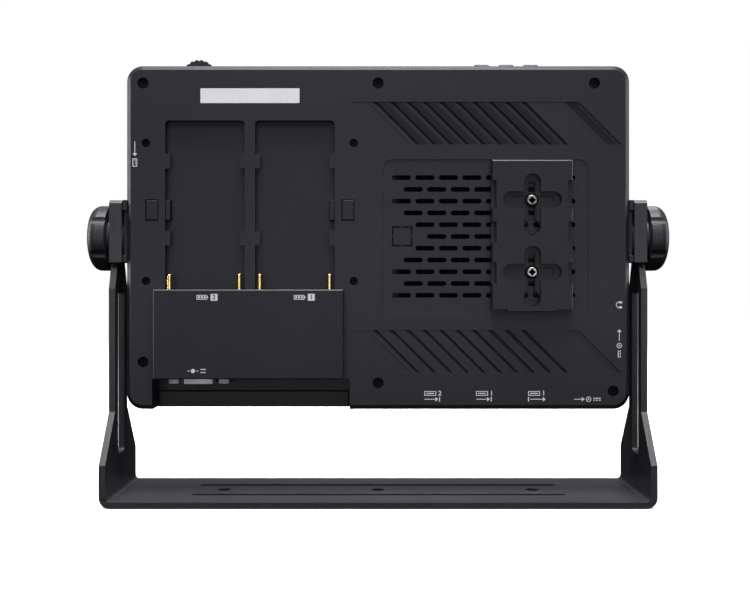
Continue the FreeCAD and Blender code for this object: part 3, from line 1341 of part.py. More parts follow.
def make_jacks():
    mouth = bottom + d.socket_sink
    half = d.power_width / 2
    x = right - d.power_inset
    y = board_rear - half
    body = fuse(
        "power_blank",
        block("power_body", (x - half, x + half), (board_rear - d.power_width, board_rear),
              (inner_bottom, inner_bottom + d.power_length)),
        rod("power_collar", "z", (x, y), (mouth, inner_bottom), d.power_bore),
    )
    bore = rod("power_bore", "z", (x, y), (mouth - PAST, mouth + d.power_bore_depth), d.power_bore - d.video_wall)
    pin = rod("power_pin", "z", (x, y), (mouth + d.socket_sink, mouth + d.power_bore_depth + PAST), d.power_pin)
    keep(fuse("power_jack", cut("power_hollow", body, bore), pin), "power_jack")

    face = right - d.socket_sink
    half = d.audio_width / 2
    y = board_rear - half
    z = bottom + d.audio_rise
    body = fuse(
        "audio_blank",
        block("audio_body", (face - d.audio_length, inner_right), (board_rear - d.audio_width, board_rear),
              (z - half, z + half)),
        rod("audio_collar", "x", (y, z), (inner_right, face), d.audio_collar),
    )
    bore = rod("audio_bore", "x", (y, z), (face - d.audio_length + PAST, face + PAST), d.audio_bore)
    keep(cut("headphone_jack", body, bore), "headphone_jack")

    half = d.output_width / 2
    y = board_rear - half
    z = bottom + d.output_rise
    body = fuse(
        "output_blank",
        block("output_body", (face - d.audio_length, inner_right), (board_rear - d.output_width, board_rear),
              (z - half, z + half)),
        rod("output_collar", "x", (y, z), (inner_right, face), d.output_collar),
    )
    bore = rod("output_bore", "x", (y, z), (face - d.power_bore_depth, face + PAST), d.output_bore)
    pin = rod("output_pin", "x", (y, z), (face - d.power_bore_depth - PAST, face - d.socket_sink), d.output_pin)
    keep(fuse("power_output_socket", cut("output_hollow", body, bore), pin), "power_output_socket")


def make_card_socket():
    z = top - d.card_drop
    half = d.card_width / 2
    y = (bay_plate_front, bay_plate_front + d.card_thick)
    middle = bay_plate_front + d.card_thick / 2
    shell = block("card_shell", (inner_left, inner_left + d.card_length), y, (z - half, z + half))
    inside = block(
        "card_inside", (inner_left - PAST, inner_left + d.card_length - d.video_tongue),
        (middle - d.card_gap / 2, middle + d.card_gap / 2), (z - d.card_mouth / 2, z + d.card_mouth / 2),
    )
    keep(cut("card_socket", shell, inside), "card_socket")


# Buttons and dial on the top edge
def button_board_low():
    """Underside of the button board."""
    stem_low = inner_top - d.fit_gap - d.button_flange_thick
    return stem_low - d.button_travel - d.fit_gap - d.switch_height - d.board_thick


def button_board_span():
    middle = right - d.button_inset
    reach = d.button_pitch + d.button_board_side
    return (middle - reach, middle + reach)


def make_buttons():
    board_z = button_board_low()
    switch_low = board_z + d.board_thick
    half_width = d.button_width / 2
    board_y = (inner_rear, controls_y + d.button_width)
    keep(block("button_board", button_board_span(), board_y, (board_z, switch_low)), "button_board")
    switches = []
    flange_top = inner_top - d.fit_gap
    flange_low = flange_top - d.button_flange_thick
    for index in range(3):
        x = right - d.button_inset + d.button_pitch * (index - 1)
        half_switch = d.switch_width / 2
        switches.append(block(
            "switch_%d" % index, (x - half_switch, x + half_switch),
            (controls_y - half_width, controls_y + half_width), (switch_low, switch_low + d.switch_height),
        ))
        half = d.button_length / 2
        wing = half + d.button_flange
        wing_y = half_width + d.button_flange
        label = "function_button_%d" % (index + 1)
        cap = block(label + "_cap", (x - half, x + half), (controls_y - half_width, controls_y + half_width),
                    (flange_top, top + d.button_proud))
        eased = soften(label + "_eased", cap, "Fillet", d.button_proud / 2,
                       lambda edge: lies_at(edge, "z", top + d.button_proud))
        flange = block(label + "_flange", (x - wing, x + wing), (controls_y - wing_y, controls_y + wing_y),
                       (flange_low, flange_top))
        keep(fuse(label, eased, flange), label)
    keep(group("button_switches", *switches), "button_switches")


def make_dial():
    half = d.dial_width / 2
    bore = d.dial_axle_radius + d.turn_gap
    body = doc.addObject("PartDesign::Body", "dial_body")
    sketch = sketch_on(body, "XZ_Plane", -half)
    draw_circle(sketch, (0, 0), d.dial_radius)
    draw_circle(sketch, (0, 0), bore)
    pad = body.newObject("PartDesign::Pad", "dial_pad")
    pad.Profile = sketch
    pad.setExpression("Length", d.dial_width.text)
    doc.recompute()
    before = body.Shape.Volume
    flute = sketch_on(body, "XZ_Plane", -half)
    draw_circle(flute, (0, d.dial_radius + d.knurl_radius / 3), d.knurl_radius)
    groove = body.newObject("PartDesign::Pocket", "dial_flute")
    groove.Profile = flute
    groove.setExpression("Length", d.dial_width.text)
    groove.Reversed = True
    pattern = body.newObject("PartDesign::PolarPattern", "dial_knurl")
    pattern.Originals = [groove]
    pattern.Axis = (flute, ["N_Axis"])
    pattern.Angle = 360
    pattern.Occurrences = KNURL_COUNT
    body.Tip = pattern
    doc.recompute()
    if body.Shape.Volume >= before:
        raise RuntimeError("the dial's flutes cut nothing")
    body.setExpression("Placement.Base.x", dial_x.text)
    body.setExpression("Placement.Base.y", controls_y.text)
    body.setExpression("Placement.Base.z", dial_z.text)
    keep(body, "menu_dial")
    encoder_rear = controls_y + half + d.glide_gap
    half_encoder = d.encoder_width / 2
    axle_end = chassis_rear - d.glide_gap
    flange = fuse(
        "dial_axle",
        rod("axle_pin", "y", (dial_x, dial_z), (controls_y - half - d.glide_gap, axle_end), d.dial_axle_radius),
        rod("axle_head", "y", (dial_x, dial_z),
            (controls_y - half - d.glide_gap - d.button_flange, controls_y - half - d.glide_gap),
            d.dial_axle_radius + d.axle_head_rim),
    )
    keep(flange, "dial_axle")
    encoder_top = inner_top - d.fit_gap
    blank = block("encoder_blank", (dial_x - half_encoder, dial_x + half_encoder), (encoder_rear, chassis_rear),
                  (encoder_top - d.encoder_height, encoder_top))
    radius = d.dial_axle_radius + d.turn_gap
    guide = stadium("encoder_guide", "z", "y",
                    (dial_z - radius - d.dial_press - d.fit_gap, dial_z + radius), dial_x, radius * 2,
                    (encoder_rear - PAST, chassis_rear + PAST))
    keep(cut("dial_encoder", blank, guide), "dial_encoder")


# Tilt pivots: side plates, nuts, washers, hinge blocks, knobs
def pair(label, source):
    """One node that holds a right-hand piece and its mirror image."""
    keep(group(label, source, mirror(label + "_left", source)), label)


def left_and_right(label, source):
    keep(source, label + "_right")
    keep(mirror(label + "_left", source), label + "_left")


def ring(name, span, outer, inner):
    disc = rod(name + "_disc", "x", (0, pivot), span, outer)
    hole = rod(name + "_hole", "x", (0, pivot), (span[0] - PAST, span[1] + PAST), inner)
    return cut(name, disc, hole)


def make_pivots():
    half = d.hinge_depth / 2
    through = (right - PAST, side_plate_face + PAST)
    plate = block("side_blank", (right, side_plate_face), (-half, half), (hinge_low, hinge_high))
    cut_z = (pivot - d.side_cut_low, pivot + d.side_cut_high)
    tools = [
        block("side_cut_near", through, (-half - PAST, -half + d.side_plate_cut), cut_z),
        block("side_cut_far", through, (half - d.side_plate_cut, half + PAST), cut_z),
        rod("side_pivot", "x", (0, pivot), through, stud_hole),
    ]
    cone_start = side_plate_face - d.side_screw_cone
    shank = d.screw_shank
    screws = []
    nut_holes = []
    for index, z in enumerate(side_screw_heights):
        hole = rod("side_hole_%d" % index, "x", (0, z), through, shank + d.fit_gap)
        gap = d.fit_gap
        sink = taper("side_sink_%d" % index, "x", (0, z), (cone_start, side_plate_face),
                     (shank + gap, d.side_screw_head + gap))
        tools.append(fuse("side_bore_%d" % index, hole, sink))
        head = taper("side_head_%d" % index, "x", (0, z), (cone_start, side_plate_face), (shank, d.side_screw_head))
        stem = rod("side_stem_%d" % index, "x", (0, z), (nut_inner, cone_start), shank)
        screws.append(fuse("side_screw_%d" % index, head, stem))
        nut_holes.append(rod("nut_hole_%d" % index, "x", (0, z), (nut_inner - PAST, inner_right + PAST), shank))
    left_and_right("side_plate", cut("side_plate_right", plate, *tools))
    left_screws = [mirror("side_screw_left_%d" % index, screw) for index, screw in enumerate(screws)]
    keep(group("side_plate_screws", *screws, *left_screws), "side_plate_screws")
    half_nut = d.nut_depth / 2
    nut_z = (side_screw_heights[0] - d.nut_end, side_screw_heights[1] + d.nut_end)
    nut = block("nut_blank", (nut_inner, inner_right), (-half_nut, half_nut), nut_z)
    thread = rod("nut_thread", "x", (0, pivot), (nut_inner - PAST, inner_right + PAST), d.stud_radius + d.turn_gap)
    pair("pivot_nuts", cut("pivot_nut_right", nut, thread, *nut_holes))
    washer_inner = side_plate_face + d.friction_gap
    pair("friction_washers", ring("friction_washer", (washer_inner, hinge_inner), d.friction_radius, stud_hole))
    washer_end = hinge_outer + d.knob_washer_thick
    pair("knob_washers", ring("knob_washer", (hinge_outer, washer_end), d.knob_washer_radius, stud_hole))


def make_hinge_blocks():
    half = d.hinge_depth / 2
    blank = block("hinge_blank", (hinge_inner, hinge_outer), (-half, half), (hinge_low, hinge_high))
    eased = soften("hinge_eased", blank, "Chamfer", d.hinge_bevel,
                   lambda edge: lies_at(edge, "z", hinge_high) and straight_along(edge, "x"))
    tongue = d.tongue_width / 2 + d.fit_gap
    seat = block("tongue_seat", (arm_inner, hinge_outer + PAST), (-tongue, tongue), (hinge_low - PAST, pivot + tongue))
    bore = rod("hinge_bore", "x", (0, pivot), (hinge_inner - PAST, hinge_outer + PAST), stud_hole)
    screw_z = pivot - d.hinge_screw_below
    screw_end = hinge_outer - d.hinge_screw_reach
    hole = rod("hinge_screw_hole", "x", (0, screw_z), (screw_end, hinge_outer), d.hinge_screw_shank)
    seated = cut("hinge_seated", eased, seat)
    left_and_right("hinge_block", cut("hinge_block_right", seated, bore, hole))
    cone_start = hinge_outer - d.hinge_screw_cone
    screw = fuse(
        "hinge_screw",
        taper("hinge_screw_cone", "x", (0, screw_z), (cone_start, hinge_outer), (d.hinge_screw_shank, d.hinge_screw_head)),
        rod("hinge_screw_stem", "x", (0, screw_z), (screw_end, cone_start), d.hinge_screw_shank),
    )
    pair("hinge_block_screws", screw)


def make_knobs():
    body = doc.addObject("PartDesign::Body", "knob_body")
    sketch = sketch_on(body, "YZ_Plane", knob_foot + d.knob_hub_height)
    draw_circle(sketch, (0, 0), d.knob_radius)
    pad = body.newObject("PartDesign::Pad", "knob_pad")
    pad.Profile = sketch
    pad.setExpression("Length", (d.knob_length - d.knob_hub_height).text)
    doc.recompute()
    before = body.Shape.Volume
    flute = sketch_on(body, "YZ_Plane", knob_foot + d.knob_hub_height)
    draw_circle(flute, (0, d.knob_flute_offset), d.knob_flute)
    hollow = body.newObject("PartDesign::Pocket", "knob_flute")
    hollow.Profile = flute
    hollow.setExpression("Length", d.knob_length.text)
    hollow.Reversed = True
    pattern = body.newObject("PartDesign::PolarPattern", "knob_lobes")
    pattern.Originals = [hollow]
    pattern.Axis = (flute, ["N_Axis"])
    pattern.Angle = 360
    pattern.Occurrences = KNOB_LOBES
    body.Tip = pattern
    doc.recompute()
    if body.Shape.Volume >= before:
        raise RuntimeError("the knob's flutes cut nothing")
    round_edges(body, "Fillet", d.knob_lobe_round, lambda edge: straight_along(edge, "x"))
    body.setExpression("Placement.Base.z", pivot.text)
    drum = rod("knob_drum", "x", (0, pivot), (knob_foot, knob_end), d.knob_radius)
    dome = soften("knob_dome", drum, "Fillet", d.knob_end_round, lambda edge: lies_at(edge, "x", knob_end))
    lobed = common("knob_lobed", body, dome)
    hub = rod("knob_hub", "x", (0, pivot), (knob_foot, knob_foot + d.knob_hub_height), d.knob_hub)
    stud_end = knob_foot + d.stud_sunk
    socket = rod("knob_socket", "x", (0, pivot), (knob_foot - PAST, stud_end), d.stud_radius)
    left_and_right("clamp_knob", cut("clamp_knob_right", fuse("knob_blank", lobed, hub), socket))
    left_and_right("knob_stud", rod("knob_stud_right", "x", (0, pivot), (nut_inner, stud_end), d.stud_radius))


# U-bracket: one bent sheet, kept as its base with the bends and its two flat arms
def make_bracket():
    tongue = d.tongue_width / 2
    arm_top = pivot + tongue
    thick = d.sheet_thick
    outline = [
        (-hinge_outer, 0), (hinge_outer, 0), (hinge_outer, arm_top), (arm_inner, arm_top),
        (arm_inner, thick), (-arm_inner, thick), (-arm_inner, arm_top), (-hinge_outer, arm_top),
    ]
    half_depth = d.bracket_depth / 2
    body = padded_outline("bracket_strip", "XZ_Plane", outline, -half_depth, d.bracket_depth)

    def at_corner(edge, x, z):
        return straight_along(edge, "y") and lies_at(edge, "z", z) and (
            lies_at(edge, "x", x) or lies_at(edge, "x", -x))

    round_edges(body, "Fillet", d.bend_radius, lambda edge: at_corner(edge, arm_inner, thick))
    round_edges(body, "Fillet", d.bend_radius + thick, lambda edge: at_corner(edge, hinge_outer, 0))
    arm = d.arm_width / 2
    shoulder = pivot - d.shoulder_below
    wings = []
    for name, side in (("near", -1), ("far", 1)):
        points = [
            (half_depth * side, d.flare_low), (arm * side, d.flare_high), (arm * side, shoulder),
            (tongue * side, hinge_low), (tongue * side, arm_top + PAST),
            ((half_depth + PAST) * side, arm_top + PAST), ((half_depth + PAST) * side, d.flare_low),
        ]
        wings.append(padded_outline("bracket_wing_" + name, "YZ_Plane", points, -hinge_outer - PAST,
                                    hinge_outer * 2 + PAST * 2))
    trimmed = cut("bracket_trimmed", body, *wings)
    rounded = soften(
        "bracket_rounded", trimmed, "Fillet", tongue - d.fit_gap,
        lambda edge: straight_along(edge, "x") and lies_at(edge, "z", arm_top),
    )
    slot_half = d.arm_slot_width / 2
    slot_z = (d.arm_slot_low, shoulder - d.arm_slot_end)
    slot_tools = []
    for name, x in (("right", (arm_inner - PAST, hinge_outer + PAST)), ("left", (-hinge_outer - PAST, PAST - arm_inner))):
        blank = block("arm_slot_" + name, x, (-slot_half, slot_half), slot_z)
        slot_tools.append(soften("arm_slot_round_" + name, blank, "Fillet", d.arm_slot_round,
                                 lambda edge: straight_along(edge, "x")))
    half_length = d.base_slot_length / 2
    for index, side in enumerate((-1, 1)):
        slot_tools.append(stadium("base_slot_%d" % index, "x", "z", (-half_length, half_length),
                                  d.base_slot_offset * side, d.base_slot_width, (-PAST, thick + PAST)))
    for index, side in enumerate((-1, 0, 1)):
        slot_tools.append(rod("base_hole_%d" % index, "z", (d.base_hole_offset * side, 0), (-PAST, thick + PAST), d.base_hole))
    slotted = cut("bracket_slotted", rounded, *slot_tools)
    screw_z = pivot - d.hinge_screw_below
    cone_start = hinge_outer - d.hinge_screw_cone
    pivot_tools = []
    hole = rod("tongue_hole", "x", (0, pivot), (arm_inner - PAST, hinge_outer + PAST), stud_hole)
    screw_hole = fuse(
        "tongue_screw_hole",
        taper("tongue_screw_cone", "x", (0, screw_z), (cone_start, hinge_outer), (d.hinge_screw_shank, d.hinge_screw_head)),
        rod("tongue_screw_stem", "x", (0, screw_z), (arm_inner - PAST, cone_start), d.hinge_screw_shank),
    )
    for tool in (hole, screw_hole):
        pivot_tools += [tool, mirror(tool.Name + "_left", tool)]
    whole = cut("bracket_whole", slotted, *pivot_tools)
    bend_top = thick + d.bend_radius
    depth = (-half_depth - PAST, half_depth + PAST)
    reach = hinge_outer + PAST
    spaces = {
        "bracket_base": block("base_space", (-reach, reach), depth, (-PAST, bend_top)),
        "bracket_arm_left": block("left_space", (-reach, 0), depth, (bend_top, arm_top + PAST)),
        "bracket_arm_right": block("right_space", (0, reach), depth, (bend_top, arm_top + PAST)),
    }
    for label, space in spaces.items():
        keep(common(label, whole, space), label)


def check_and_write():
    """Stops on any failed feature or broken solid, then writes one file per node."""
    doc.recompute()
    for obj in doc.Objects:
        if "Invalid" in obj.State or "Error" in obj.State:
            raise RuntimeError("%s failed: %s" % (obj.Name, obj.State))
    for label, obj in nodes.items():
        if obj.Shape.isNull() or not obj.Shape.isValid() or not obj.Shape.Solids:
            raise RuntimeError("%s has no valid solid" % label)
    os.makedirs("parts", exist_ok=True)
    for label, obj in nodes.items():
        obj.Shape.exportStep("parts/%s.step" % label)
        box = obj.Shape.BoundBox
        print("%-26s solids %d  x %.2f..%.2f  y %.2f..%.2f  z %.2f..%.2f" % (
            label, len(obj.Shape.Solids), box.XMin, box.XMax, box.YMin, box.YMax, box.ZMin, box.ZMax))
    print(len(nodes), "nodes")


make_rear_cover()
make_front()
make_bay_plate()
make_stop_block()
make_release_buttons()
make_tally_socket()
make_tally_light()
make_mount_plate()
make_cover_screws()
make_main_board()
make_video_sockets()
make_jacks()
make_card_socket()
make_buttons()
make_dial()
make_pivots()
make_hinge_blocks()
make_knobs()
make_bracket()
check_and_write()
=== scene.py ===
"""Camera field monitor in its U-bracket: camera, light, finishes and printed signs."""
import json
import math

import bmesh
import bpy
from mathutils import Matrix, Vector


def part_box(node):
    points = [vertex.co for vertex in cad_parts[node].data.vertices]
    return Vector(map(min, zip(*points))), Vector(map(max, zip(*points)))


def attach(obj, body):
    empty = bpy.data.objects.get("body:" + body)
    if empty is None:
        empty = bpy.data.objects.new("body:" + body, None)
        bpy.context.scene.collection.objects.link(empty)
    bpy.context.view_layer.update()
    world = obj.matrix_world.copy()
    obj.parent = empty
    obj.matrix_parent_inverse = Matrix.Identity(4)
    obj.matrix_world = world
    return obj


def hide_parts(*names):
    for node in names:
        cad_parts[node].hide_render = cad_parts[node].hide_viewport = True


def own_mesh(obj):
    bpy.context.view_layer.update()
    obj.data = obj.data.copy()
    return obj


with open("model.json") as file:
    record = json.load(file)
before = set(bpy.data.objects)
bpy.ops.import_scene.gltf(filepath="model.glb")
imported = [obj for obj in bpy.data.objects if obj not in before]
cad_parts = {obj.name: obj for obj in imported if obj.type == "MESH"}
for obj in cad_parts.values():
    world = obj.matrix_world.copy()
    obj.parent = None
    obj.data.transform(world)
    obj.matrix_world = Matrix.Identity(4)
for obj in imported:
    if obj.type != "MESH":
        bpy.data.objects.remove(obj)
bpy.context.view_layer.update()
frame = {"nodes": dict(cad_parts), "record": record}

MM = 0.001
nodes = frame["nodes"]
scene = bpy.context.scene

# Image frame and camera, from the photograph's perspective
IMAGE_WIDTH = 750
IMAGE_HEIGHT = 600
FOCAL_PIXELS = 978.7
PRINCIPAL_X = 378.1
PRINCIPAL_Y = 285.0
EYE_DISTANCE = 487 * MM
EYE_X = 0.0
EYE_Z = 107.7 * MM
REAR_FACE_Y = -13.25 * MM
SENSOR_WIDTH = 36.0
CLIP_START = 0.01
CLIP_END = 50


def make_camera():
    data = bpy.data.cameras.new("camera")
    data.sensor_width = SENSOR_WIDTH
    data.lens = FOCAL_PIXELS / IMAGE_WIDTH * SENSOR_WIDTH
    data.shift_x = (IMAGE_WIDTH / 2 - PRINCIPAL_X) / IMAGE_WIDTH
    data.shift_y = (PRINCIPAL_Y - IMAGE_HEIGHT / 2) / IMAGE_WIDTH
    data.clip_start = CLIP_START
    data.clip_end = CLIP_END
    camera = bpy.data.objects.new("camera", data)
    camera.location = (EYE_X, REAR_FACE_Y - EYE_DISTANCE, EYE_Z)
    camera.rotation_euler = (math.pi / 2, 0, 0)
    scene.collection.objects.link(camera)
    scene.camera = camera


# Node trees of the materials
NOISE_LOW = 0.3
NOISE_HIGH = 0.7
# Sockets of a mix node by number, because those for colours and for values have the same names
MIX_FACTOR = 0
MIX_FIRST_VALUE = 2
MIX_SECOND_VALUE = 3
MIX_FIRST_COLOUR = 6
MIX_SECOND_COLOUR = 7
MIXED_VALUE = 0
MIXED_COLOUR = 2


class Graph:
    """Short names for building a node tree."""

    def __init__(self, tree):
        self.tree = tree

    def add(self, kind, settings=None, inputs=None):
        node = self.tree.nodes.new(kind)
        for name, value in (settings or {}).items():
            setattr(node, name, value)
        for name, value in (inputs or {}).items():
            self.feed(node.inputs[name], value)
        return node

    def feed(self, socket, value):
        """Links another node's output, or sets a constant."""
        if isinstance(value, bpy.types.NodeSocket):
            self.tree.links.new(value, socket)
        else:
            socket.default_value = value

    def place(self):
        """Object coordinates, which are metres in the shared frame for every CAD node."""
        return self.add("ShaderNodeTexCoord").outputs["Object"]

    def noise(self, scale, detail=2.0, roughness=0.5, where=None):
        inputs = {"Vector": where or self.place(), "Scale": scale, "Detail": detail, "Roughness": roughness}
        return self.add("ShaderNodeTexNoise", inputs=inputs).outputs["Fac"]

    def span(self, value, low, high, to_low, to_high):
        inputs = {"Value": value, "From Min": low, "From Max": high, "To Min": to_low, "To Max": to_high}
        return self.add("ShaderNodeMapRange", inputs=inputs).outputs["Result"]

    def spread(self, noise, to_low, to_high):
        """Maps the range in which most of a noise lies."""
        return self.span(noise, NOISE_LOW, NOISE_HIGH, to_low, to_high)

    def blend(self, factor, first, second):
        mixer = self.add("ShaderNodeMix", {"data_type": "RGBA"})
        self.feed(mixer.inputs[MIX_FACTOR], factor)
        self.feed(mixer.inputs[MIX_FIRST_COLOUR], first)
        self.feed(mixer.inputs[MIX_SECOND_COLOUR], second)
        return mixer.outputs[MIXED_COLOUR]

    def maths(self, operation, first, second=0.0):
        node = self.add("ShaderNodeMath", {"operation": operation})
        self.feed(node.inputs[0], first)
        self.feed(node.inputs[1], second)
        return node.outputs[0]

    def bump(self, height, strength, distance):
        inputs = {"Height": height, "Strength": strength, "Distance": distance}
        return self.add("ShaderNodeBump", inputs=inputs).outputs["Normal"]


def empty_graph(owner):
    """The node tree of a material or of the world, cleared."""
    owner.use_nodes = True
    owner.node_tree.nodes.clear()
    return Graph(owner.node_tree)


def new_material(name):
    material = bpy.data.materials.new(name)
    graph = empty_graph(material)
    shader = graph.add("ShaderNodeBsdfPrincipled")
    graph.add("ShaderNodeOutputMaterial", inputs={"Surface": shader.outputs[0]})
    return material, graph, shader


def shade(colour, factor):
    return tuple(min(1.0, part * factor) for part in colour[:3]) + (1.0,)


# Coatings: scale of the clouds per metre, depth of the grain in metres, and its reach in roughness
CLOUD_SCALE = 38.0
GRAIN_DEPTH = 0.00008
GRAIN_ROUGHNESS = 0.07
FLECK_START = 0.45
FLECK_FULL = 0.75
FLECK_SHARE = 0.35


def coated(name, colour, rough, grain, bump, specular=0.3, uneven=0.16, fleck=1.7, shadow=None):
    """Paint, powder coat or moulded plastic: cloudy colour, fine grain in roughness and relief.

    A shadow is a function that returns the share of SHADOW_TONE over the colour.
    """
    material, graph, shader = new_material(name)
    cloud = graph.spread(graph.noise(CLOUD_SCALE, detail=4.0, roughness=0.6), 0.0, 1.0)
    grit = graph.noise(grain, detail=3.0, roughness=0.65)
    tone = graph.blend(cloud, shade(colour, 1 - uneven), shade(colour, 1 + uneven))
    speck = graph.span(grit, FLECK_START, FLECK_FULL, 0.0, FLECK_SHARE)
    surface = graph.blend(speck, tone, shade(colour, fleck))
    shine = specular
    if shadow:
        share = shadow(graph)
        surface = graph.blend(share, surface, shade(colour, SHADOW_TONE))
        shine = graph.span(share, 0.0, 1.0, specular, specular * SHADOW_TONE)
    graph.feed(shader.inputs["Base Color"], surface)
    graph.feed(shader.inputs["Specular IOR Level"], shine)
    roughness = graph.spread(grit, rough - GRAIN_ROUGHNESS, rough + GRAIN_ROUGHNESS)
    graph.feed(shader.inputs["Roughness"], roughness)
    graph.feed(shader.inputs["Normal"], graph.bump(grit, bump, GRAIN_DEPTH))
    return material


# Louvred panel at the upper right of the rear cover, as the part's source cuts it, in millimetres
LOUVRE_MARGIN = 18.3
LOUVRE_HEIGHT = 21.2
LOUVRE_INSET = 125.8
LOUVRE_PITCH = 8.2
LOUVRE_COUNT = 10
LOUVRE_BAND = 93.0
# Shadow on that panel: its width on the broad band, its edges, its tone, and where it fades along a pitch
SHADOW_BAND = 5.4
SHADOW_BLUR = 0.3
SHADOW_TONE = 0.62
SHADOW_FADE = 0.42
SHADOW_END = 0.68


def between(graph, value, low, high):
    """One between two limits in millimetres and none outside, with blurred edges."""
    rise = graph.span(value, (low - SHADOW_BLUR) * MM, (low + SHADOW_BLUR) * MM, 0.0, 1.0)
    fall = graph.span(value, (high - SHADOW_BLUR) * MM, (high + SHADOW_BLUR) * MM, 1.0, 0.0)
    return graph.maths("MULTIPLY", rise, fall)


def slat_shadow(graph):
    """Share of shadow beside the steps of the upper louvres and on the broad band to their right."""
    cover_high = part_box("rear_cover")[1]
    top = cover_high[2] / MM - LOUVRE_MARGIN
    first = cover_high[0] / MM - LOUVRE_INSET + top
    last = first + (LOUVRE_COUNT - 1) * LOUVRE_PITCH
    split = graph.add("ShaderNodeSeparateXYZ", inputs={"Vector": graph.place()}).outputs
    slant = graph.maths("ADD", split["X"], split["Z"])
    past_wall = graph.maths("DIVIDE", graph.maths("SUBTRACT", slant, first * MM), LOUVRE_PITCH * MM)
    lean = graph.span(graph.maths("FRACT", past_wall), SHADOW_FADE, SHADOW_END, 1.0, 0.0)
    slats = graph.maths("MULTIPLY", lean, between(graph, slant, first, last))
    broad = between(graph, slant, first + LOUVRE_BAND, first + LOUVRE_BAND + SHADOW_BAND)
    panel = between(graph, split["Z"], top - LOUVRE_HEIGHT, top)
    return graph.maths("MULTIPLY", graph.maths("ADD", slats, broad), panel)


# Bare metals: how far the drawn lines stretch, noise scales per metre, and the lines' depth in metres
LINE_STRETCH = (1.0, 1.0, 14.0)
LINE_SCALE = 900.0
LINE_DEPTH = 0.00004
LINE_RELIEF = 0.12
TARNISH_SCALE = 240.0
TARNISH_DARK = 0.82
TARNISH_LIGHT = 1.08
LINE_SMOOTH = 0.7
LINE_ROUGH = 1.35


def metal(name, colour, rough):
    """Bare metal with drawn lines along one axis and faint tarnish."""
    material, graph, shader = new_material(name)
    stretched = {"Vector": graph.place(), "Scale": LINE_STRETCH}
    along = graph.add("ShaderNodeMapping", inputs=stretched).outputs[0]
    lines = graph.noise(LINE_SCALE, detail=3.0, roughness=0.6, where=along)
    tarnish = graph.spread(graph.noise(TARNISH_SCALE, detail=3.0, roughness=0.6), 0.0, 1.0)
    tone = graph.blend(tarnish, shade(colour, TARNISH_DARK), shade(colour, TARNISH_LIGHT))
    graph.feed(shader.inputs["Base Color"], tone)
    graph.feed(shader.inputs["Roughness"], graph.spread(lines, rough * LINE_SMOOTH, rough * LINE_ROUGH))
    graph.feed(shader.inputs["Normal"], graph.bump(lines, LINE_RELIEF, LINE_DEPTH))
    shader.inputs["Metallic"].default_value = 1.0
    return material


# Circuit boards: colours, scales per metre, and roughness
MASK_GREEN = (0.006, 0.045, 0.022, 1)
TRACK_GREEN = (0.012, 0.085, 0.042, 1)
TINNED = (0.55, 0.53, 0.48, 1)
TRACK_SCALE = 180.0
TRACK_GAP = 0.06
DOT_SCALE = 260.0
DOT_CORE = 0.10
DOT_RIM = 0.16
MASK_ROUGHNESS = 0.42
TIN_ROUGHNESS = 0.25


def circuit_board():
    """Green solder mask with fine tracks and tinned dots."""
    material, graph, shader = new_material("circuit_board")
    place = graph.place()
    bricks = {"Vector": place, "Scale": TRACK_SCALE, "Mortar Size": TRACK_GAP}
    tracks = graph.add("ShaderNodeTexBrick", inputs=bricks).outputs["Fac"]
    cells = graph.add("ShaderNodeTexVoronoi", inputs={"Vector": place, "Scale": DOT_SCALE})
    dots = graph.span(cells.outputs["Distance"], DOT_CORE, DOT_RIM, 1.0, 0.0)
    mask = graph.blend(tracks, MASK_GREEN, TRACK_GREEN)
    graph.feed(shader.inputs["Base Color"], graph.blend(dots, mask, TINNED))
    graph.feed(shader.inputs["Roughness"], graph.span(dots, 0.0, 1.0, MASK_ROUGHNESS, TIN_ROUGHNESS))
    return material


# Active area of the display behind the cover glass, in millimetres
SCREEN_MIDDLE_Z = 131.4
SCREEN_HALF_WIDTH = 108.5
SCREEN_HALF_HEIGHT = 68.0
SCREEN_EDGE = 0.5
# Cover glass: colours, scale of the smears per metre, the noise in which they show, and shine
BORDER_BLACK = (0.004, 0.004, 0.005, 1)
SCREEN_BLACK = (0.011, 0.013, 0.018, 1)
SMEAR_SCALE = 16.0
SMEAR_START = 0.35
SMEAR_FULL = 0.75
CLEAN_ROUGHNESS = 0.05
SMEAR_ROUGHNESS = 0.12
GLASS_SPECULAR = 0.5
GLASS_COAT = 0.3


def inside(graph, distance, half):
    """One nearer to the middle than half a size in millimetres, none past it."""
    return graph.span(distance, (half - SCREEN_EDGE) * MM, (half + SCREEN_EDGE) * MM, 1.0, 0.0)


def screen_glass():
    """Polished cover glass: black printed border round a slightly bluish active area."""
    material, graph, shader = new_material("screen_glass")
    split = graph.add("ShaderNodeSeparateXYZ", inputs={"Vector": graph.place()}).outputs
    across = graph.maths("ABSOLUTE", split["X"])
    up = graph.maths("ABSOLUTE", graph.maths("SUBTRACT", split["Z"], SCREEN_MIDDLE_Z * MM))
    active = graph.maths(
        "MULTIPLY", inside(graph, across, SCREEN_HALF_WIDTH), inside(graph, up, SCREEN_HALF_HEIGHT))
    smear = graph.noise(SMEAR_SCALE, detail=4.0, roughness=0.65)
    graph.feed(shader.inputs["Base Color"], graph.blend(active, BORDER_BLACK, SCREEN_BLACK))
    roughness = graph.span(smear, SMEAR_START, SMEAR_FULL, CLEAN_ROUGHNESS, SMEAR_ROUGHNESS)
    graph.feed(shader.inputs["Roughness"], roughness)
    shader.inputs["Specular IOR Level"].default_value = GLASS_SPECULAR
    shader.inputs["Coat Weight"].default_value = GLASS_COAT
    return material


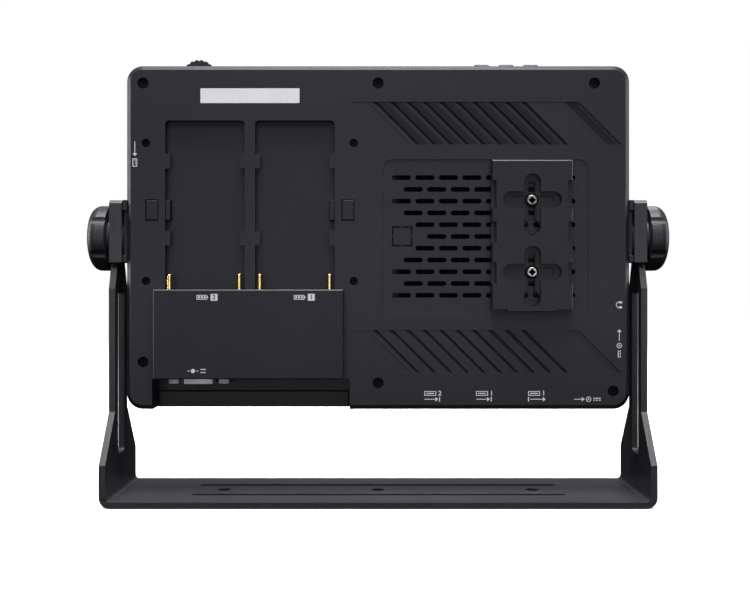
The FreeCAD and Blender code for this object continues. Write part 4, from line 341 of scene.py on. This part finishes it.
# Tally-light lens: colours, scales per metre, the ripple's depth in metres, and shine
LENS_DARK = (0.66, 0.66, 0.70, 1)
LENS_LIGHT = (0.73, 0.73, 0.77, 1)
LENS_CLOUD_SCALE = 90.0
RIPPLE_SCALE = 420.0
RIPPLE_BEND = 0.3
RIPPLE_RELIEF = 0.06
RIPPLE_DEPTH = 0.00005
LENS_SMOOTH = 0.42
LENS_ROUGH = 0.55
LENS_SPECULAR = 0.35


def lens_white():
    """Frosted light diffuser with a faint moulded ripple."""
    material, graph, shader = new_material("lens_white")
    cloud = graph.noise(LENS_CLOUD_SCALE, detail=3.0, roughness=0.5)
    waves = {"Vector": graph.place(), "Scale": RIPPLE_SCALE, "Distortion": RIPPLE_BEND}
    ripple = graph.add("ShaderNodeTexWave", inputs=waves).outputs["Fac"]
    graph.feed(shader.inputs["Base Color"], graph.blend(cloud, LENS_DARK, LENS_LIGHT))
    graph.feed(shader.inputs["Roughness"], graph.spread(cloud, LENS_SMOOTH, LENS_ROUGH))
    graph.feed(shader.inputs["Normal"], graph.bump(ripple, RIPPLE_RELIEF, RIPPLE_DEPTH))
    shader.inputs["Specular IOR Level"].default_value = LENS_SPECULAR
    return material


# White screen print: colours, scale of the wear per metre, the noise in which it shows, and roughness
INK_FRESH = (0.62, 0.62, 0.64, 1)
INK_WORN = (0.28, 0.28, 0.29, 1)
INK_WEAR_SCALE = 1500.0
INK_WEAR_START = 0.55
INK_WEAR_FULL = 0.8
INK_WEAR_SHARE = 0.4
INK_SMOOTH = 0.5
INK_ROUGH = 0.7


def printed_ink():
    """White screen print, slightly worn."""
    material, graph, shader = new_material("printed_ink")
    wear = graph.noise(INK_WEAR_SCALE, detail=4.0, roughness=0.7)
    worn = graph.span(wear, INK_WEAR_START, INK_WEAR_FULL, 0.0, INK_WEAR_SHARE)
    graph.feed(shader.inputs["Base Color"], graph.blend(worn, INK_FRESH, INK_WORN))
    graph.feed(shader.inputs["Roughness"], graph.spread(wear, INK_SMOOTH, INK_ROUGH))
    return material


# The coat that the case's frame and its rear cover share
CASE_COAT = {
    "colour": (0.0158, 0.0152, 0.0216), "rough": 0.35, "grain": 4200.0, "bump": 0.15,
    "specular": 0.26, "uneven": 0.06,
}
# Finishes by the record's material slots
FINISHES = {
    "black_enamel": coated("black_enamel", colour=(0.0172, 0.0166, 0.0204), rough=0.34, grain=1300.0,
                           bump=0.75, specular=0.40, fleck=6.0),
    "case_black": coated("case_black", **CASE_COAT),
    "fitting_black": coated("fitting_black", colour=(0.0160, 0.0154, 0.0214), rough=0.37, grain=4200.0,
                            bump=0.15, specular=0.24, uneven=0.06),
    "black_plastic": coated("black_plastic", colour=(0.0152, 0.0147, 0.0204), rough=0.40, grain=5200.0,
                            bump=0.12, specular=0.24, uneven=0.08),
    "washer_nylon": coated("washer_nylon", colour=(0.035, 0.035, 0.036), rough=0.5, grain=3000.0, bump=0.15),
    "bright_steel": metal("bright_steel", colour=(0.56, 0.56, 0.57), rough=0.30),
    "dark_steel": coated("dark_steel", colour=(0.003, 0.003, 0.0033), rough=0.58, grain=4200.0, bump=0.2,
                         specular=0.1),
    "screw_chrome": metal("screw_chrome", colour=(0.40, 0.40, 0.41), rough=0.22),
    "gold_brass": metal("gold_brass", colour=(0.78, 0.56, 0.24), rough=0.2),
    "screen_glass": screen_glass(),
    "display_black": coated("display_black", colour=(0.012, 0.013, 0.017), rough=0.25, grain=1800.0,
                            bump=0.05, specular=0.5),
    "bare_alloy": metal("bare_alloy", colour=(0.58, 0.59, 0.60), rough=0.36),
    "circuit_board": circuit_board(),
    "lens_white": lens_white(),
}
# Finishes of single nodes that differ from the rest of their slot
HINGE_BLACK = coated("hinge_black", colour=(0.0200, 0.0192, 0.0268), rough=0.32, grain=4200.0,
                     bump=0.15, specular=0.46, uneven=0.06)
KNOB_BLACK = coated("knob_black", colour=(0.0150, 0.0145, 0.0196), rough=0.42, grain=2600.0,
                    bump=0.25, specular=0.46, uneven=0.08)
NODE_FINISHES = {
    "hinge_block_left": HINGE_BLACK,
    "hinge_block_right": HINGE_BLACK,
    "clamp_knob_left": KNOB_BLACK,
    "clamp_knob_right": KNOB_BLACK,
    "rear_cover": coated("cover_black", **CASE_COAT, shadow=slat_shadow),
    # Heat sink seen through the vents: nearly black, painted shade for the dark inside the case
    "heat_sink": coated("sink_in_painted_shade", colour=(0.0035, 0.0035, 0.0040), rough=0.6, grain=3000.0,
                        bump=0.2, specular=0.1),
    # Jack screws: plated metal given a bright white diffuse coat, a painted reflection of the bright
    # surroundings
    "tally_jack_screws": coated("jack_screw_painted_reflection", colour=(0.86, 0.86, 0.87), rough=0.32, grain=2400.0,
                                bump=0.1, specular=0.6, uneven=0.06, fleck=1.05),
    "tally_socket": metal("shell_steel", colour=(0.40, 0.40, 0.41), rough=0.34),
}
# Finishes of the signs, and the black of the painted shade on dark floors that only the scene has
INK = printed_ink()
INK_DARK = FINISHES["black_plastic"]
# Black without shine, for painted shade in recesses
PAINTED_SHADE_BLACK = coated("painted_shade_black", colour=(0.0008, 0.0008, 0.0009), rough=0.8, grain=4200.0,
                    bump=0.1, specular=0.0)

# Nodes whose edges are broken by a small round, in millimetres
EDGE_ROUNDS = {
    "rear_cover": 0.25,
    "front_frame": 0.3,
    "cover_glass": 0.2,
    "battery_stop_block": 0.25,
    "battery_release_left": 0.25,
    "battery_release_right": 0.25,
    "tally_light_lens": 0.25,
    "tally_jack_screws": 0.2,
    "mount_plate": 0.12,
    "hinge_block_left": 0.3,
    "hinge_block_right": 0.3,
    "side_plate_left": 0.2,
    "side_plate_right": 0.2,
    "clamp_knob_left": 0.4,
    "clamp_knob_right": 0.4,
    "function_button_1": 0.2,
    "function_button_2": 0.2,
    "function_button_3": 0.2,
    "menu_dial": 0.15,
}
SHARP_ANGLE = math.radians(28)
ROUND_SEGMENTS = 2
NORMAL_WEIGHT = 60
SAME_PLACE = 1e-6


def round_edges(node, width):
    """Merges the imported mesh's split corners and rounds its edges, without touching the mesh itself."""
    weld = node.modifiers.new("weld", "WELD")
    weld.merge_threshold = SAME_PLACE
    bevel = node.modifiers.new("edge_round", "BEVEL")
    bevel.width = width * MM
    bevel.segments = ROUND_SEGMENTS
    bevel.limit_method = "ANGLE"
    bevel.angle_limit = SHARP_ANGLE
    bevel.use_clamp_overlap = True
    even = node.modifiers.new("even_normals", "WEIGHTED_NORMAL")
    even.keep_sharp = True
    even.weight = NORMAL_WEIGHT


def dress_nodes():
    slots = {entry["node"]: entry["material_slot"] for entry in frame["record"]["subparts"]}
    for name, node in nodes.items():
        finish = NODE_FINISHES.get(name) or FINISHES[slots[name]]
        node.data.materials.clear()
        node.data.materials.append(finish)
        if name in EDGE_ROUNDS:
            round_edges(node, EDGE_ROUNDS[name])


# The bracket's bent sheet, shown as one skin without the lines where its three solids meet
BRACKET_NODES = ("bracket_base", "bracket_arm_left", "bracket_arm_right")
BRACKET_ROUND = 0.12


def bracket_mesh():
    """The three nodes' meshes in one, without the faces in which they meet."""
    joint_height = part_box("bracket_base")[1][2]
    skin = bmesh.new()
    for name in BRACKET_NODES:
        skin.from_mesh(nodes[name].data)
    hidden = [face for face in skin.faces
              if all(abs(vert.co.z - joint_height) < SAME_PLACE for vert in face.verts)]
    bmesh.ops.delete(skin, geom=hidden, context="FACES")
    bmesh.ops.remove_doubles(skin, verts=skin.verts, dist=SAME_PLACE)
    mesh = bpy.data.meshes.new("bracket_sheet")
    skin.to_mesh(mesh)
    skin.free()
    return mesh


def make_bracket_skin():
    mesh = bracket_mesh()
    piece = bpy.data.objects.new("bracket_sheet", mesh)
    mesh.materials.clear()
    mesh.materials.append(FINISHES["black_enamel"])
    scene.collection.objects.link(piece)
    round_edges(piece, BRACKET_ROUND)
    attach(piece, "bracket")
    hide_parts(*BRACKET_NODES)


def make_release_coil(side):
    node_name = "release_spring_" + side
    piece = bpy.data.objects.new("release_coil_" + side, nodes[node_name].data.copy())
    scene.collection.objects.link(piece)
    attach(piece, "monitor")
    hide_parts(node_name)
    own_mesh(piece)


# Printing on the rear side, in millimetres
INK_LIFT = 0.02
INK_LINE = 0.36
DIGIT_WEIGHT = 0.06
DIGIT_SHARE_OF_SIZE = 0.7
ARC_POINTS = 20


def sign_place(pixel_x, pixel_y, carrier="rear_cover"):
    """Place on a node's rear side that the camera sees at an image point: X, Y and Z."""
    face_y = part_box(carrier)[0][1] / MM
    scale = FOCAL_PIXELS * MM / (EYE_DISTANCE + face_y * MM - REAR_FACE_Y)
    return (pixel_x - PRINCIPAL_X) / scale, face_y, EYE_Z / MM + (PRINCIPAL_Y - pixel_y) / scale


def print_mesh(name, mesh, ink):
    mesh.materials.clear()
    mesh.materials.append(ink)
    piece = bpy.data.objects.new(name, mesh)
    scene.collection.objects.link(piece)
    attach(piece, "monitor")
    return piece


def number(name, digit, place, height, ink, layers=1):
    """Printed digit, centred at its place."""
    curve = bpy.data.curves.new(name + "_curve", "FONT")
    curve.body = digit
    curve.size = height * MM / DIGIT_SHARE_OF_SIZE
    curve.align_x = "CENTER"
    curve.align_y = "CENTER"
    curve.offset = DIGIT_WEIGHT * MM
    source = bpy.data.objects.new(name + "_source", curve)
    mesh = bpy.data.meshes.new_from_object(source)
    bpy.data.objects.remove(source)
    piece = print_mesh(name, mesh, ink)
    piece.rotation_euler = (math.pi / 2, 0, 0)
    piece.location = (place[0] * MM, (place[1] - layers * INK_LIFT) * MM, place[2] * MM)


def pictogram(name, outlines, place, ink=INK):
    """Flat printed shapes from closed outlines of points round their place."""
    x, y, z = place
    sign = bmesh.new()
    for outline in outlines:
        corners = [sign.verts.new(((x + a) * MM, (y - INK_LIFT) * MM, (z + b) * MM)) for a, b in outline]
        face = sign.faces.new(corners)
        face.normal_update()
        if face.normal.y > 0:
            face.normal_flip()
    mesh = bpy.data.meshes.new(name)
    sign.to_mesh(mesh)
    sign.free()
    print_mesh(name, mesh, ink)


# Outlines that the pictograms are made of, in millimetres from the sign's centre
def bar(left, low, right, high):
    return [(left, low), (right, low), (right, high), (left, high)]


def row_of_bars(count, start, pitch, width, low, high):
    lefts = [start + index * pitch for index in range(count)]
    return [bar(left, low, left + width, high) for left in lefts]


def box_frame(left, low, right, high):
    """Four bars round a rectangle."""
    return [bar(left, low, right, low + INK_LINE), bar(left, high - INK_LINE, right, high),
            bar(left, low + INK_LINE, left + INK_LINE, high - INK_LINE),
            bar(right - INK_LINE, low + INK_LINE, right, high - INK_LINE)]


def arc_points(radius, start, stop):
    step = math.radians(stop - start) / (ARC_POINTS - 1)
    angles = [math.radians(start) + step * index for index in range(ARC_POINTS)]
    return [(radius * math.cos(angle), radius * math.sin(angle)) for angle in angles]


def disc(radius):
    return arc_points(radius, 0, 360 - 360 / ARC_POINTS)


def arch(radius, start, stop):
    """Curved line; a whole ring is made of two of them."""
    return arc_points(radius + INK_LINE / 2, start, stop) + arc_points(radius - INK_LINE / 2, stop, start)


def star(reach, waist):
    """Four-pointed outline of a cross drive's recess, laid flat as its painted shade."""
    return [[(0, reach), (-waist, waist), (-reach, 0), (-waist, -waist),
             (0, -reach), (waist, -waist), (reach, 0), (waist, waist)]]


def corner_brackets(size, arm, line):
    """Four right angles at the corners of a square."""
    half = size / 2
    level = bar(-half, -half, arm - half, line - half)
    upright = bar(-half, line - half, line - half, arm - half)
    marks = []
    for across in (-1, 1):
        for up in (-1, 1):
            marks += [[(a * across, b * up) for a, b in outline] for outline in (level, upright)]
    return marks


def moved(outlines, across):
    return [[(a + across, b) for a, b in outline] for outline in outlines]


def quarter_turned(outlines, direction):
    return [[(-b * direction, a * direction) for a, b in outline] for outline in outlines]


# Pictograms, in millimetres
SIGN_HEIGHT = 2.3
ARROW_HALF = 1.15
ARROW_LENGTH = 1.38
CURRENT_DASHES = 3
CURRENT_HALF = 1.8
CURRENT_INNER = 0.25
CURRENT_OUTER = 0.7
CURRENT_DASH = 0.9
CURRENT_PITCH = 1.35
PLUG_RADIUS = 1.15
PLUG_PIN_RADIUS = 0.42
HEADBAND_RADIUS = 1.5
EAR_CUP_INNER = 0.75
EAR_CUP_OUTER = 1.75
EAR_CUP_LOW = -1.35
EAR_CUP_HIGH = 0.35
CARD_HALF = 2.0
CARD_CONTACTS = 3
CARD_CONTACT_START = -1.3
CARD_CONTACT_PITCH = 0.85
CARD_CONTACT_WIDTH = 0.45
CARD_CONTACT_LOW = 0.1
CARD_CONTACT_INSET = 0.7
BULB_RADIUS = 1.05
RAY_START = 1.7
RAY_END = 2.6
RAY_HALF = 0.2


def arrow(tail, tip):
    """Arrow along the line of signs."""
    back = tip - ARROW_LENGTH
    shaft = bar(tail, -INK_LINE / 2, back, INK_LINE / 2)
    head = [(back, -ARROW_HALF), (tip, 0.0), (back, ARROW_HALF)]
    return [shaft, head]


def direct_current(across):
    """Solid line over three dashes."""
    line = bar(-CURRENT_HALF, CURRENT_INNER, CURRENT_HALF, CURRENT_OUTER)
    dashes = row_of_bars(
        CURRENT_DASHES, -CURRENT_HALF, CURRENT_PITCH, CURRENT_DASH, -CURRENT_OUTER, -CURRENT_INNER)
    return moved([line] + dashes, across)


def round_plug(across):
    """Ring with a pin at its centre."""
    ring = [arch(PLUG_RADIUS, 0, 180), arch(PLUG_RADIUS, 180, 360)]
    return moved(ring + [disc(PLUG_PIN_RADIUS)], across)


def headphones():
    left_cup = bar(-EAR_CUP_OUTER, EAR_CUP_LOW, -EAR_CUP_INNER, EAR_CUP_HIGH)
    right_cup = bar(EAR_CUP_INNER, EAR_CUP_LOW, EAR_CUP_OUTER, EAR_CUP_HIGH)
    return [arch(HEADBAND_RADIUS, 0, 180), left_cup, right_cup]


def memory_card(across):
    half = SIGN_HEIGHT / 2
    contact_high = half - CARD_CONTACT_INSET
    contacts = row_of_bars(
        CARD_CONTACTS, CARD_CONTACT_START, CARD_CONTACT_PITCH, CARD_CONTACT_WIDTH,
        CARD_CONTACT_LOW, contact_high)
    return moved(box_frame(-CARD_HALF, -half, CARD_HALF, half) + contacts, across)


def lamp(across):
    rays = [bar(-RAY_END, -RAY_HALF, -RAY_START, RAY_HALF), bar(RAY_START, -RAY_HALF, RAY_END, RAY_HALF)]
    return moved([disc(BULB_RADIUS)] + rays, across)


# Battery signs on the stop block: name, digit and image point of each, sizes in millimetres
BATTERY_SIGNS = (("battery_left", "2", 214.0, 297.3), ("battery_right", "1", 311.3, 297.3))
BATTERY_SQUARE = 3.4
BATTERY_DIGIT = 2.2
CELL_LEFT = -8.6
CELL_RIGHT = -3.4
CELL_HALF = 1.15
CELL_NUB = 0.5
CHARGE_BARS = 3
CHARGE_START = -7.9
CHARGE_PITCH = 1.4
CHARGE_WIDTH = 1.0
CHARGE_HALF = 0.5


def make_battery_sign(name, digit, pixel_x, pixel_y):
    place = sign_place(pixel_x, pixel_y, "battery_stop_block")
    half = BATTERY_SQUARE / 2
    pictogram(name + "_square", [bar(-half, -half, half, half)], place)
    number(name + "_number", digit, place, BATTERY_DIGIT, INK_DARK, layers=2)
    cell = box_frame(CELL_LEFT, -CELL_HALF, CELL_RIGHT, CELL_HALF)
    nub = bar(CELL_RIGHT, -CELL_NUB, CELL_RIGHT + CELL_NUB, CELL_NUB)
    charge = row_of_bars(CHARGE_BARS, CHARGE_START, CHARGE_PITCH, CHARGE_WIDTH, -CHARGE_HALF, CHARGE_HALF)
    pictogram(name + "_cell", cell + [nub] + charge, place)


# Video socket signs: name, digit, image column and way of the signal, sizes in millimetres
SOCKET_SIGNS = (
    ("video_in_2", "2", 433.0, "in"),
    ("video_in_1", "1", 484.7, "in"),
    ("video_out_1", "1", 536.8, "out"),
)
SOCKET_NUMBER_LINE = 393.4
SOCKET_ARROW_LINE = 399.2
SOCKET_NUMBER_OFFSET = 3.4
PORT_LEFT = -4.3
PORT_RIGHT = 1.6
TONGUE_INSET = 1.1
TONGUE_HALF = 0.25
STOP_WIDTH = 0.5
STOP_IN = 3.0
STOP_OUT = -4.4


def make_socket_sign(name, digit, pixel_x, way):
    top = sign_place(pixel_x, SOCKET_NUMBER_LINE)
    half = SIGN_HEIGHT / 2
    tongue = bar(PORT_LEFT + TONGUE_INSET, -TONGUE_HALF, PORT_RIGHT - TONGUE_INSET, TONGUE_HALF)
    pictogram(name + "_port", box_frame(PORT_LEFT, -half, PORT_RIGHT, half) + [tongue], top)
    number(name + "_number", digit, (top[0] + SOCKET_NUMBER_OFFSET, top[1], top[2]), SIGN_HEIGHT, INK)
    if way == "in":
        flow = arrow(tail=-4.2, tip=2.6) + [bar(STOP_IN, -half, STOP_IN + STOP_WIDTH, half)]
    else:
        flow = [bar(STOP_OUT, -half, STOP_OUT + STOP_WIDTH, half)] + arrow(tail=-3.4, tip=4.4)
    pictogram(name + "_flow", flow, sign_place(pixel_x, SOCKET_ARROW_LINE))


# Image points of the other signs' centres
POWER_IN_SIGN = (587.8, 399.2)
POWER_OUT_SIGN = (619.3, 343.6)
HEADPHONE_SIGN = (619.3, 304.8)
CARD_SIGN = (134.8, 154.5)
TALLY_SIGN = (196.0, 371.0)
# Two lines beside the lamp, in millimetres from the tally sign's centre
TALLY_LINE_LEFT = 2.2
TALLY_LINE_RIGHT = 4.8
TALLY_LINE_INNER = 0.55
TALLY_LINE_OUTER = 1.0


def make_signs():
    for name, digit, pixel_x, pixel_y in BATTERY_SIGNS:
        make_battery_sign(name, digit, pixel_x, pixel_y)
    for name, digit, pixel_x, way in SOCKET_SIGNS:
        make_socket_sign(name, digit, pixel_x, way)
    power_in = arrow(tail=-6.8, tip=-1.6) + round_plug(across=0.4) + direct_current(across=4.6)
    pictogram("power_in_sign", power_in, sign_place(*POWER_IN_SIGN))
    power_out = direct_current(across=-5.2) + round_plug(across=-1.0) + arrow(tail=1.4, tip=7.2)
    pictogram("power_out_sign", quarter_turned(power_out, 1), sign_place(*POWER_OUT_SIGN))
    pictogram("headphone_sign", quarter_turned(headphones(), 1), sign_place(*HEADPHONE_SIGN))
    card = memory_card(across=4.0) + arrow(tail=-6.4, tip=0.8)
    pictogram("card_sign", quarter_turned(card, -1), sign_place(*CARD_SIGN))
    lines = [bar(TALLY_LINE_LEFT, -TALLY_LINE_OUTER, TALLY_LINE_RIGHT, -TALLY_LINE_INNER),
             bar(TALLY_LINE_LEFT, TALLY_LINE_INNER, TALLY_LINE_RIGHT, TALLY_LINE_OUTER)]
    pictogram("tally_sign", lamp(across=-1.5) + lines, sign_place(*TALLY_SIGN, "battery_stop_block"))


# Painted shade, in millimetres: on the floors of the engraved corners beside the vents, at an image point,
# and in the plate screws' drives
MARK_CENTRE = (402.0, 236.0)
MARK_SIZE = 10.2
MARK_ARM = 4.6
MARK_LINE = 0.85
MARK_DEPTH = 0.7
DRIVE_REACH = 2.0
DRIVE_WAIST = 0.92


def make_painted_shade_marks():
    x, y, z = sign_place(*MARK_CENTRE)
    corners = corner_brackets(MARK_SIZE, MARK_ARM, MARK_LINE)
    # A dark sheet on the floors of the engraved corners: painted shade in those recesses
    pictogram("vent_mark_painted_shade", corners, (x, y + MARK_DEPTH, z), FINISHES["dark_steel"])
    low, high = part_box("mount_plate_screws")
    radius = (high[0] - low[0]) / 2
    for name, height in (("lower", low[2] + radius), ("upper", high[2] - radius)):
        place = ((low[0] + radius) / MM, low[1] / MM, height / MM)
        # A flat black star on each screw head: painted shade of its drive's recess
        pictogram("plate_screw_drive_shade_" + name, star(DRIVE_REACH, DRIVE_WAIST), place, PAINTED_SHADE_BLACK)


# Floor, in metres
FLOOR_RADIUS = 3.0
FLOOR_SEGMENTS = 96
FLOOR_DROP = 0.0002
FLOOR_FADE = 0.5
FLOOR_END = 1.6
FLOOR_GLOW = 0.45
FLOOR_CLOUD_SCALE = 3.0
FLOOR_PALE = (0.86, 0.86, 0.865, 1)
FLOOR_PALER = (0.88, 0.88, 0.885, 1)
FLOOR_DARK = (0.004, 0.004, 0.0042, 1)
WHITE = (1, 1, 1, 1)


def floor_finish():
    """Pale for the camera, nearly black for light that would bounce, and clear far from the object."""
    material = bpy.data.materials.new("floor_pale")
    graph = empty_graph(material)
    seen = graph.add("ShaderNodeLightPath").outputs["Is Camera Ray"]
    pale = graph.blend(graph.noise(FLOOR_CLOUD_SCALE), FLOOR_PALE, FLOOR_PALER)
    diffuse = graph.add("ShaderNodeBsdfDiffuse", inputs={"Color": graph.blend(seen, FLOOR_DARK, pale)})
    strength = graph.maths("MULTIPLY", seen, FLOOR_GLOW)
    glow = graph.add("ShaderNodeEmission", inputs={"Color": WHITE, "Strength": strength})
    both = graph.add("ShaderNodeAddShader")
    graph.feed(both.inputs[0], diffuse.outputs[0])
    graph.feed(both.inputs[1], glow.outputs[0])
    distance = graph.add("ShaderNodeVectorMath", {"operation": "LENGTH"})
    graph.feed(distance.inputs[0], graph.place())
    fade = graph.span(distance.outputs["Value"], FLOOR_FADE, FLOOR_END, 1.0, 0.0)
    clear = graph.add("ShaderNodeBsdfTransparent")
    mix = graph.add("ShaderNodeMixShader", inputs={"Fac": fade})
    graph.feed(mix.inputs[1], clear.outputs[0])
    graph.feed(mix.inputs[2], both.outputs[0])
    graph.add("ShaderNodeOutputMaterial", inputs={"Surface": mix.outputs[0]})
    return material


def make_floor():
    disc_mesh = bmesh.new()
    bmesh.ops.create_circle(disc_mesh, cap_ends=True, segments=FLOOR_SEGMENTS, radius=FLOOR_RADIUS)
    mesh = bpy.data.meshes.new("floor")
    disc_mesh.to_mesh(mesh)
    disc_mesh.free()
    floor = bpy.data.objects.new("floor", mesh)
    floor.location = (0, 0, -FLOOR_DROP)
    scene.collection.objects.link(floor)
    mesh.materials.append(floor_finish())


# Strength of the room's light from each side
ROOM_ABOVE = 0.20
ROOM_FRONT = 0.12
ROOM_ELSEWHERE = 0.004
ROOM_BEHIND = 0.05
ROOM_SEEN = 1.0
# Where that light rises or falls, as parts of a direction of length one
ABOVE_SPAN = (0.2, 0.9)
FRONT_SPAN = (-0.9, -0.2)
BEHIND_SPAN = (0.4, 0.9)
OVER_FLOOR_SPAN = (0.02, 0.15)


def make_world():
    """White for the camera; for the light on the object a dim room, brighter above, in front and behind."""
    world = bpy.data.worlds.new("room")
    scene.world = world
    graph = empty_graph(world)
    towards = graph.add("ShaderNodeTexCoord").outputs["Generated"]
    direction = graph.add("ShaderNodeSeparateXYZ", inputs={"Vector": towards}).outputs
    above = graph.span(direction["Z"], *ABOVE_SPAN, 0.0, ROOM_ABOVE)
    front = graph.span(direction["Y"], *FRONT_SPAN, ROOM_FRONT, ROOM_ELSEWHERE)
    behind = graph.span(direction["Y"], *BEHIND_SPAN, 0.0, 1.0)
    over_floor = graph.span(direction["Z"], *OVER_FLOOR_SPAN, 0.0, ROOM_BEHIND)
    low_behind = graph.maths("MULTIPLY", behind, over_floor)
    room = graph.maths("ADD", graph.maths("ADD", above, front), low_behind)
    mixer = graph.add("ShaderNodeMix", {"data_type": "FLOAT"})
    graph.feed(mixer.inputs[MIX_FACTOR], graph.add("ShaderNodeLightPath").outputs["Is Camera Ray"])
    graph.feed(mixer.inputs[MIX_FIRST_VALUE], room)
    graph.feed(mixer.inputs[MIX_SECOND_VALUE], ROOM_SEEN)
    strength = mixer.outputs[MIXED_VALUE]
    background = graph.add("ShaderNodeBackground", inputs={"Color": WHITE, "Strength": strength})
    graph.add("ShaderNodeOutputWorld", inputs={"Surface": background.outputs[0]})


def softbox(name, place, target, width, height, power):
    data = bpy.data.lights.new(name, "AREA")
    data.shape = "RECTANGLE"
    data.size = width
    data.size_y = height
    data.energy = power
    light = bpy.data.objects.new(name, data)
    light.location = place
    light.rotation_euler = (Vector(target) - Vector(place)).to_track_quat("-Z", "Y").to_euler()
    scene.collection.objects.link(light)


def make_lights():
    """Softboxes, in metres and watts."""
    softbox("overhead", place=(0.0, -0.35, 2.2), target=(0, 0, 0.10), width=1.2, height=1.0, power=105.0)
    softbox("front_key", place=(0.0, -0.75, 0.85), target=(0, 0, 0.14), width=1.0, height=0.4, power=4.6)
    softbox("front_fill", place=(0.0, -0.95, 0.42), target=(0, 0, 0.12), width=1.0, height=0.4, power=0.6)
    softbox("low_fill", place=(0.0, -1.05, 0.07), target=(0, 0, 0.08), width=1.4, height=0.12, power=1.5)
    softbox("left_strip", place=(-1.0, 0.08, 0.30), target=(0, 0, 0.15), width=0.12, height=0.6, power=4.5)
    softbox("right_strip", place=(1.0, 0.08, 0.30), target=(0, 0, 0.15), width=0.12, height=0.6, power=2.8)
    softbox("screen_side", place=(0.2, 1.3, 1.6), target=(0, 0, 0.12), width=1.2, height=0.6, power=18.0)


make_camera()
make_world()
make_lights()
make_floor()
dress_nodes()
make_bracket_skin()
make_release_coil("left")
make_release_coil("right")
make_signs()
make_painted_shade_marks()
scene.view_settings.view_transform = "Standard"
